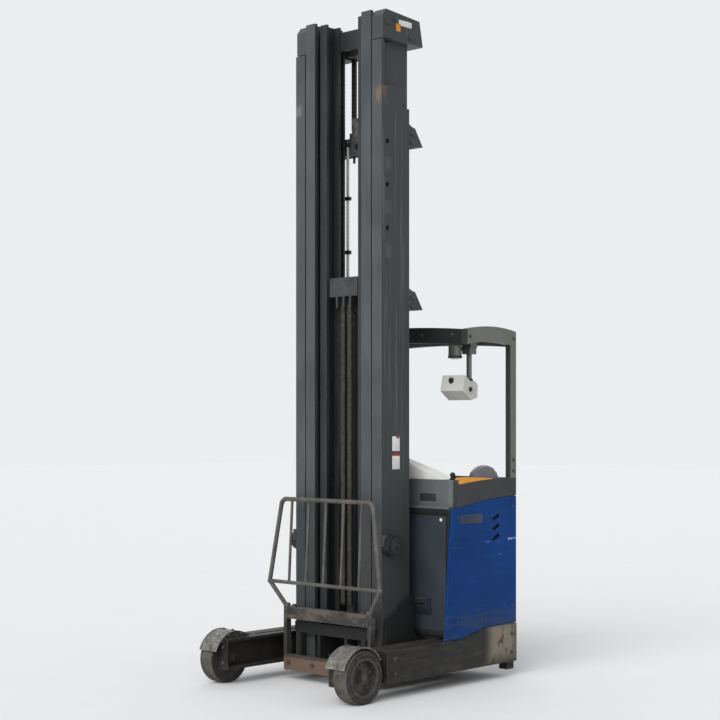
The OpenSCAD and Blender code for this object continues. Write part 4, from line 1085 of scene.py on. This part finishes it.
@dataclass
class WheelDetail:
    """Bolts, tyre rings in a painted highlight and axle nuts of the load wheels, and the rims and screws of
    their covers.
    """

    up: float = 0.1575
    outer: float = 0.635
    dish: float = 0.601
    nut_side: float = 0.621
    cover_radius: float = 0.1755
    cover_side: float = 0.625
    cover_from: float = 20.0
    cover_to: float = 150.0
    bolt_circle: float = 0.078
    bolts: int = 5

    def wheel(self, shop: Workshop, side: int, facing: Facing) -> None:
        """Bolts and rings of one wheel, which turn with it, and the nut on its fixed axle; the rings carry a
        painted highlight.

        Args:
            shop: The workshop.
            side: 1 for the left wheel and -1 for the right one.
            facing: Where the wheel's outer face looks.
        """
        word = facing.name.lower()
        turn = np.linspace(0, 2 * math.pi, self.bolts, endpoint=False) + 0.3
        ring = self.bolt_circle * np.stack([np.cos(turn), np.zeros(self.bolts), np.sin(turn)], axis=-1)
        bolts = bolt_set(list(at(0.0, side * self.dish, self.up) + ring), 0.022, facing)
        shop.piece(f"load_wheel_bolts_{word}", bolts, Paint.BOLT, f"load_wheel_{word}")
        # The tyre's moulded rings take the lighter steel finish: a painted highlight on the tyre's outer
        # face.
        highlight_hoops = [self.hoop(at(0.0, side * (self.outer - 0.0006), self.up), facing, radius, 0.0022)
                 for radius in (0.117, 0.138)]
        shop.piece(f"load_tyre_rings_{word}", highlight_hoops, Paint.STEEL, f"load_wheel_{word}")
        profile = [(0.020, 0.0), (0.031, 0.0), (0.031, 0.003), (0.024, 0.003), (0.024, 0.011), (0.019, 0.013)]
        nut = turned_piece(profile, at(0.0, side * (self.nut_side - 0.0005), self.up), facing, 24)
        shop.piece(f"load_axle_nut_{word}", nut, Paint.BOLT, "chassis")

    @staticmethod
    def hoop(spot: np.ndarray, facing: Facing, radius: float, thick: float, sides: int = 48) -> Shell:
        """A ring: x = (R + r cos p) cos t, y = (R + r cos p) sin t, z = r sin p, closed both ways round.

        Args:
            spot: Middle of the ring.
            facing: Direction of its axis.
            radius: Radius R of its middle line.
            thick: Radius r of its section.
            sides: Points round the ring.

        Returns:
            The closed ring.
        """
        t = np.linspace(0, 2 * math.pi, sides, endpoint=False)[:, None]
        p = np.linspace(0, 2 * math.pi, 8, endpoint=False)[None, :]
        far = radius + thick * np.cos(p)
        points = np.stack(np.broadcast_arrays(far * np.cos(t), far * np.sin(t), thick * np.sin(p)), axis=-1)
        quads = grid_quads(sides + 1, 8) % (sides * 8)
        return Shell(points.reshape(-1, 3), quads).turned(facing.value).moved(spot)

    def covers(self, shop: Workshop) -> None:
        """A rolled rim along each cover's outer edge, and screws in its crown."""
        a = np.radians(np.linspace(self.cover_from + 1, self.cover_to - 1, 40))
        arc = self.cover_radius * np.stack([np.cos(a), np.zeros(40), np.sin(a)], axis=-1)
        rims, spots = [], []
        for side in (-1, 1):
            rims.append(pipe(at(0.0, side * (self.cover_side - 0.002), self.up) + arc, 0.0045, 8))
            spots += [at(0.0, side * y, self.up + self.cover_radius - 0.0005) for y in (0.50, 0.585)]
        shop.piece("wheel_cover_rims", rims, Paint.COVER, "chassis")
        screws = bolt_set(spots, 0.018, Facing.UP)
        shop.piece("wheel_cover_screws", screws, Paint.BOLT, "chassis")

    def build(self, shop: Workshop) -> None:
        """Make both wheels' pieces and the covers'."""
        for side, facing in SIDES:
            self.wheel(shop, side, facing)
        self.covers(shop)


@dataclass
class BodyDetail:
    """Small pieces on the chassis and its covers: latch, painted-shadow strips, badge, screws, trim, welds
    and bolts.
    """

    front: float = 0.805
    half: float = 0.625
    latch_left: float = 0.4157
    latch_up: float = 0.445
    hood_front: float = 0.834
    hood_up: float = 1.285
    lip_front: float = 0.864
    lip_length: float = 0.34
    lip_low: float = 0.004
    lip_drop: float = 0.028
    lip_rise: float = 0.003
    rear: float = 1.460

    def latch(self, shop: Workshop) -> None:
        """A pull handle over the latch block, a white button above it and black strips round the front cover
        as painted shadow.
        """
        bow = ((0.000, -0.036), (0.016, -0.034), (0.022, 0.0), (0.016, 0.034), (0.000, 0.036))
        grip = smooth_path([(out, left, 0.0) for out, left in bow], 8)
        up = self.latch_up + 0.078
        handle = pipe(grip + at(self.front - 0.057, self.latch_left, up), 0.006, 10)
        frame = rounded_box(at(self.front - 0.0585, self.latch_left, up), (0.002, 0.042, 0.018), 0.0015)
        shop.piece("front_latch_handle", [handle, frame], Paint.BLACK, "chassis")
        dome = [(0.011, 0), (0.011, 0.003), (0.008, 0.005)]
        button = turned_piece(dome, at(self.front, 0.538, 1.036), Facing.FRONT, 20)
        shop.piece("front_cover_button", button, Paint.LABEL, "chassis")
        # Black strips round the front cover: painted shadow under the hood's lip, and the dark gaps to the
        # blue covers and the frame.
        shadow_strips = [rounded_box(at(self.front - 0.011, side * 0.600, 0.706), (0.004, 0.013, 0.394), 0.0035)
                 for side in (-1, 1)]
        shadow_strips += [rounded_box(at(self.front - 0.002, 0.0, up), (0.006, 0.588, 0.018), 0.005)
                  for up in (0.331, 1.084)]
        shop.piece("front_cover_seals", shadow_strips, Paint.RUBBER, "chassis")

    def trim(self, shop: Workshop) -> None:
        """A yellow lip on the dark band's edge: an ellipse carried rearwards, tall in front, thin behind."""
        share = np.linspace(0, 1, 40)[:, None]
        turn = np.linspace(0, 2 * math.pi, 20, endpoint=False)[None, :]
        blunt = np.sqrt(np.clip(share / 0.08, 0.01, 1.0))
        drop = self.lip_low + self.lip_drop * (1 - share) ** 1.5
        tall = (drop + self.lip_rise) / 2 * blunt
        x = AXLE_X - self.lip_front - self.lip_length * share
        y = self.half - 0.002 + 0.006 * blunt * np.cos(turn)
        z = self.hood_up + (self.lip_rise - drop) / 2 - tall * np.sin(turn)
        lip = tube(np.stack(np.broadcast_arrays(x, y, z), axis=-1))
        shop.piece("side_trim_lip", lip, Paint.YELLOW, "chassis")

    def badge(self, shop: Workshop) -> None:
        """A blank dark badge on the blue cover, a blank plate on the hood and screws at the covers' edges."""
        badge = rounded_box(at(0.996, self.half, 1.037), (0.110, 0.003, 0.030), 0.0028)
        shop.piece("side_cover_badge", badge, Paint.BADGE, "chassis")
        plate = rounded_box(at(self.hood_front, 0.407, 1.173), (0.0016, 0.066, 0.024), 0.0014)
        shop.piece("hood_plate", plate, Paint.BAND, "chassis")
        left = on_side(self.half, (0.86, 0.40), (0.86, 1.05), (1.42, 1.10), (1.42, 0.46), (1.14, 0.40))
        right = on_side(-self.half, (0.79, 0.40), (0.79, 1.05), (1.01, 0.52), (1.01, 1.05))
        back = [at(self.rear, side * 0.56, up) for side in (-1, 1) for up in (0.40, 0.75, 1.10)]
        screws = [bolt_set(spots, 0.014, facing)
                  for spots, facing in ((left, Facing.LEFT), (right, Facing.RIGHT), (back, Facing.REAR))]
        shop.piece("cover_screws", screws, Paint.BOLT, "chassis")

    def frame(self, shop: Workshop) -> None:
        """Bolts on the outriggers and weld beads along their top seams."""
        share = np.linspace(0.0, 1.0, 160)
        wave = np.stack([-0.66 * share, 0.001 * np.sin(260 * share), 0.001 * np.cos(190 * share)], axis=-1)
        beads = [pipe(at(0.215, side * 0.5195, 0.288) + wave, 0.0045, 6) for side in (-1, 1)]
        shop.piece("outrigger_welds", beads, Paint.FRAME, "chassis")
        spots = on_side(0.635, (0.26, 0.15), (0.26, 0.24), (1.40, 0.16), (1.40, 0.28))
        ends = [at(-0.100, side * 0.48, up) for side in (-1, 1) for up in (0.14, 0.24)]
        shells = bolts_both_sides(spots, 0.022) + [bolt_set(ends, 0.020, Facing.FRONT)]
        shop.piece("outrigger_bolts", shells, Paint.BOLT, "chassis")

    def build(self, shop: Workshop) -> None:
        """Make every piece of the body."""
        self.latch(shop)
        self.badge(shop)
        self.trim(shop)
        self.frame(shop)


@dataclass
class CabDetail:
    """Pieces round the operator: console, control boots, display, lamp, mat, pedals and guard bolts."""

    hood_up: float = 1.285
    console_behind: tuple[float, float] = (0.866, 0.990)
    console_left: tuple[float, float] = (0.060, 0.4997)
    console_rise: float = 0.112
    pole_behind: float = 1.070
    pole_left: float = 0.548
    pole_foot: float = 1.905
    lamp: Spot = (1.000, 0.490, 2.051)
    lever: tuple[float, float] = (0.885, 0.5657)
    steer: tuple[float, float] = (0.930, -0.180)
    floor_up: float = 0.308

    def console(self, shop: Workshop) -> None:
        """A rounded skin over the console, with keys: it falls to the left and rolls off at the edges.

        The height over the hood is rise * slope(u) * (0.72 + 0.28 nose(u)) * (1 - 0.16 |2v - 1| ** 6). Here u
        runs across the truck and v along it, slope falls to 0 on the left and nose rises from 0 on the right.
        """
        u = np.linspace(0.0, 1.0, 40)[:, None]
        v = np.linspace(0.0, 1.0, 25)[None, :]
        near, far = self.console_left
        left = near - 0.004 + u * (far - near + 0.008)
        slope = np.clip(np.minimum((1.0 - u) / 0.78, 1.0), 0.0, 1.0) ** 0.9
        nose = np.clip(u / 0.06, 0.0, 1.0) ** 0.5
        roll = 1.0 - 0.16 * np.abs(2 * v - 1.0) ** 6
        rise = 0.0006 + (self.console_rise + 0.007) * slope * (0.72 + 0.28 * nose) * roll
        front, rear = self.console_behind
        behind = front - 0.005 + v * (rear - front + 0.010)
        top = np.stack(np.broadcast_arrays(AXLE_X - behind, left, self.hood_up + rise), axis=-1)
        skin = self.closed_sheet(top, self.hood_up)
        shop.piece("console_skin", skin, Paint.CONSOLE, "chassis", 50.0)
        keys = [rounded_box(at(0.93 + 0.028 * (i % 3 - 1), 0.105 + 0.032 * (i // 3), self.hood_up + 0.120),
                            (0.009, 0.010, 0.004), 0.003) for i in range(6)]
        shop.piece("console_keys", keys, Paint.BLACK, "chassis")

    @staticmethod
    def closed_sheet(top: np.ndarray, base_up: float) -> Shell:
        """Close a grid of points by walls round its edge, down to a flat underside.

        Args:
            top: Upper points, rows by columns by 3.
            base_up: Height of the underside.

        Returns:
            The closed shell, with its faces looking out.
        """
        rows, columns = top.shape[:2]
        base = top.copy()
        base[..., 2] = base_up
        count = rows * columns
        number = np.arange(count).reshape(rows, columns)
        upper = grid_quads(rows, columns, False)
        rim = np.concatenate([number[0, :-1], number[:-1, -1], number[-1, :0:-1], number[:0:-1, 0]])
        after = np.roll(rim, -1)
        walls = np.stack([rim, rim + count, after + count, after], axis=-1)
        points = np.concatenate([top.reshape(-1, 3), base.reshape(-1, 3)])
        quads = np.concatenate([upper, upper[:, ::-1] + count, walls])
        first = points[upper[0]]
        looks_down = np.cross(first[1] - first[0], first[2] - first[0])[2] < 0
        return Shell(points, quads[:, ::-1] if looks_down else quads)

    def controls(self, shop: Workshop) -> None:
        """A bellows boot under the lever's ball, a cap on the steering wheel's hub and a grip on its knob."""
        boot = [(0.024, 0.0), (0.024, 0.003), (0.018, 0.005), (0.020, 0.008), (0.014, 0.010), (0.016, 0.013),
                (0.008, 0.016)]
        cap = [(0.034, 0), (0.034, 0.004), (0.026, 0.010), (0.008, 0.012)]
        grip = [(0.0135, -0.036), (0.016, -0.024), (0.0165, -0.008), (0.013, 0.001), (0.006, 0.004)]
        knob = at(self.steer[0] - 0.118, self.steer[1], self.hood_up + 0.104)
        shells = [turned_piece(boot, at(*self.lever, self.hood_up), Facing.UP, 24),
                  turned_piece(cap, at(*self.steer, self.hood_up + 0.060), Facing.UP, 32),
                  turned_piece(grip, knob, Facing.UP, 24)]
        shop.piece("control_boots", shells, Paint.RUBBER, "chassis")

    def display(self, shop: Workshop) -> None:
        """Screen, side knob, eye and foot ring of the display, and the lens and rim of the lamp beside it."""
        middle = self.pole_left - 0.058
        rear = self.pole_behind + 0.0462
        bezel = rounded_box(at(rear, middle, self.pole_foot - 0.062), (0.003, 0.080, 0.036), 0.0025)
        shop.piece("display_screen", bezel, Paint.GLASS, "chassis")
        knob = [(0.015, 0.0), (0.015, 0.005), (0.012, 0.009), (0.004, 0.010)]
        spot = at(self.pole_behind - 0.030, self.pole_left + 0.034, self.pole_foot - 0.052)
        lens = [(0.019, -0.006), (0.019, 0.008), (0.015, 0.011), (0.006, 0.009)]
        eye = at(self.pole_behind - 0.090, middle - 0.012, self.pole_foot + 0.004)
        ring = [(0.026, 0.0), (0.026, 0.010), (0.0175, 0.018)]
        foot = at(self.pole_behind, self.pole_left, self.pole_foot)
        shells = [turned_piece(knob, spot, Facing.LEFT, 24), turned_piece(lens, eye, Facing.FRONT, 24),
                  turned_piece(ring, foot, Facing.UP, 24)]
        shop.piece("display_fittings", shells, Paint.BLACK, "chassis")
        low = at(*self.lamp)
        edge = [(0.0435, 0.0), (0.046, 0.004), (0.046, 0.014), (0.0425, 0.016)]
        shop.piece("lamp_rim", turned_piece(edge, low, Facing.UP), Paint.BLACK, "chassis")
        glass = [(0.040, 0.0), (0.034, 0.004), (0.022, 0.007), (0.008, 0.008)]
        shop.piece("lamp_lens", turned_piece(glass, low, Facing.DOWN), Paint.LENS, "chassis")

    def floor(self, shop: Workshop) -> None:
        """A ribbed mat and two pedals in the operator's place: ribs are a cosine of the distance across."""
        u = np.linspace(0.0, 1.0, 121)[:, None]
        v = np.linspace(0.0, 1.0, 3)[None, :]
        rib = self.floor_up + 0.004 + 0.0015 * np.cos(60 * math.pi * u)
        top = np.stack(np.broadcast_arrays(AXLE_X - 1.075 - 0.297 * v, -0.58 + 0.52 * u, rib), axis=-1)
        mat = self.closed_sheet(top, self.floor_up)
        shop.piece("floor_mat", mat, Paint.RUBBER, "chassis")
        pedals = [rounded_box(at(1.105, left, self.floor_up + rise), half, radius)
                  for rise, half, radius in ((0.026, (0.030, 0.042, 0.006), 0.004),
                                             (0.012, (0.012, 0.016, 0.012), 0.003))
                  for left in (-0.22, -0.38)]
        shop.piece("floor_pedals", pedals, Paint.RUBBER, "chassis")

    def guard(self, shop: Workshop) -> None:
        """Bolts that hold the overhead guard's beams and legs."""
        sides = on_side(0.625, (0.985, 2.185), (1.435, 2.185), (1.43, 1.33), (1.43, 1.40))
        front = [at(0.960, left, 2.20) for left in (-0.5, -0.25, 0.25, 0.5)]
        shells = bolts_both_sides(sides, 0.018) + [bolt_set(front, 0.018, Facing.FRONT)]
        shop.piece("guard_bolts", shells, Paint.BOLT, "chassis")

    def build(self, shop: Workshop) -> None:
        """Make every piece round the operator."""
        self.console(shop)
        self.controls(shop)
        self.display(shop)
        self.floor(shop)
        self.guard(shop)


@dataclass
class Seat:
    """Padded cushion and backrest, blown up as cloth from the solids that they stand for."""

    weld: float = 0.0002
    voxel: float = 0.006
    inset: float = 0.006
    pressure: float = 4.0
    frames: int = 20
    cap: float = 0.010

    def smaller(self, points: np.ndarray) -> np.ndarray:
        """Shrink points towards the middle of their box, with the underside kept where it is."""
        low, high = points.min(axis=0), points.max(axis=0)
        middle = (low + high) / 2
        middle[2] = low[2]
        return middle + (points - middle) * (1.0 - self.inset * np.array([2.0, 2.0, 1.0]) / (high - low))

    def blown(self, made: bpy.types.Object, rest: np.ndarray) -> np.ndarray:
        """Blow a mesh up as cloth under pressure, and keep each point within the cap of its rest.

        Args:
            made: The object, with its points at rest.
            rest: Those points.

        Returns:
            The points after the last frame.
        """
        cloth = made.modifiers.new("cloth", "CLOTH")
        cloth.settings.use_pressure = True
        cloth.settings.uniform_pressure_force = self.pressure
        cloth.settings.effector_weights.gravity = 0.0
        for step in range(1, self.frames + 1):
            bpy.context.scene.frame_set(step)
        graph = bpy.context.evaluated_depsgraph_get()
        move = self.read(made.evaluated_get(graph).to_mesh()) - rest
        made.evaluated_get(graph).to_mesh_clear()
        made.modifiers.clear()
        bpy.context.scene.frame_set(1)
        length = np.maximum(np.linalg.norm(move, axis=1, keepdims=True), 1e-9)
        points = rest + move * np.minimum(1.0, self.cap / length)
        points[:, 2] = np.maximum(points[:, 2], rest[:, 2].min())
        return points

    def pad(self, frame: dict, node: str, name: str, finish: Finish, shop: Workshop) -> None:
        """Turn a copy of a solid into a padded piece.

        Args:
            frame: The loaded frame.
            node: The solid that the piece stands for.
            name: The piece's name.
            finish: Its finish.
            shop: The workshop.
        """
        mesh = frame["nodes"][node].data.copy()
        mesh.name = name
        made = linked(name, mesh)
        weld = made.modifiers.new("weld", "WELD")
        weld.merge_threshold = self.weld
        remesh = made.modifiers.new("remesh", "REMESH")
        remesh.mode, remesh.voxel_size = "VOXEL", self.voxel
        self.bake(made)
        rest = self.smaller(self.read(made.data))
        self.write(made.data, rest)
        self.write(made.data, self.blown(made, rest))
        smooth = made.modifiers.new("smooth", "SUBSURF")
        smooth.levels = smooth.render_levels = 1
        made.data.polygons.foreach_set("use_smooth", np.ones(len(made.data.polygons), bool))
        made.data.materials.clear()
        made.data.materials.append(shop.material(finish))
        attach(made, "chassis")
        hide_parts(node)
        LOG.info("padded %s: %d faces", name, len(made.data.polygons))

    @staticmethod
    def read(mesh: bpy.types.Mesh) -> np.ndarray:
        """Read a mesh's points as an array."""
        flat = np.empty(len(mesh.vertices) * 3, np.float32)
        mesh.vertices.foreach_get("co", flat)
        return flat.reshape(-1, 3).astype(float)

    @staticmethod
    def write(mesh: bpy.types.Mesh, points: np.ndarray) -> None:
        """Give a mesh new points."""
        mesh.vertices.foreach_set("co", points.astype(np.float32).ravel())
        mesh.update()

    @staticmethod
    def bake(made: bpy.types.Object) -> None:
        """Put the result of an object's modifiers into its mesh."""
        graph = bpy.context.evaluated_depsgraph_get()
        mesh = bpy.data.meshes.new_from_object(made.evaluated_get(graph))
        made.modifiers.clear()
        made.data = mesh

    def dress(self, frame: dict, shop: Workshop) -> None:
        """Make the cushion and the backrest."""
        self.pad(frame, "seat_cushion", "seat_pad", Paint.VINYL, shop)
        self.pad(frame, "seat_backrest", "back_pad", Paint.DOME, shop)


DRESS: tuple[tuple[Finish, tuple[str, ...]], ...] = (
    (Paint.FRAME, ("base_frame", "outrigger_left", "outrigger_right", "drive_fork")),
    (Paint.STEEL, ("load_axles", "load_hub_left", "load_hub_right", "drive_hub")),
    (Paint.COVER, ("wheel_covers",)),
    (Paint.BATTERY, ("battery",)),
    (Paint.SLATE, ("front_cover",)),
    (Paint.BLUE, ("side_cover_left", "side_cover_right", "rear_cover")),
    (Paint.HOOD, ("hood",)),
    (Paint.BAND, ("upper_band", "seat_base")),
    (Paint.YELLOW, ("side_trim",)),
    (Paint.VINYL, ("seat_cushion", "seat_backrest")),
    (Paint.PALE, ("console", "display")),
    (Paint.BLACK, ("control_lever", "steering_wheel", "side_caps")),
    (Paint.GUARD, ("guard_frame", "guard_legs", "display_arm")),
    (Paint.GUARD_DARK, ("guard_grille",)),
    (Paint.TYRE, ("load_tyre_left", "load_tyre_right")),
    (Paint.TYRE_DARK, ("drive_tyre",)),
    (Paint.CASTING, ("drive_motor",)),
    (Paint.MAST, ("mast_outer_rails", "mast_outer_beams", "mast_middle_rails", "mast_head")),
    (Paint.INNER, ("mast_inner_rails",)),
    (Paint.RECESS_SHADE, ("carriage_plates", "reach_frame")),
    (Paint.CYLINDER, ("lift_cylinders", "free_lift_cylinder")),
    (Paint.ROD, ("lift_rods", "free_lift_rod")),
    (Paint.CHAIN, ("mast_chains", "lift_chains")),
    (Paint.PIPE, ("oil_pipe",)),
    (Paint.HOSE, ("mast_hoses",)),
    (Paint.CARRIAGE, ("fork_frame",)),
    (Paint.BACKREST, ("load_backrest",)),
)


def main() -> None:
    """Load the frame, dress its solids, add the pieces and set up the studio."""
    logging.basicConfig(level=logging.INFO, format="%(name)s: %(message)s")
    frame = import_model()
    shop = Workshop()
    for finish, nodes in DRESS:
        shop.dress(frame, finish, *nodes)
    for detail in (MastDetail(), CarriageDetail(), WheelDetail(), BodyDetail(), CabDetail()):
        detail.build(shop)
    Seat().dress(frame, shop)
    Studio().build()
    LOG.info("made %d pieces and %d finishes", shop.made, len(shop.materials))


if __name__ == "__main__":
    main()
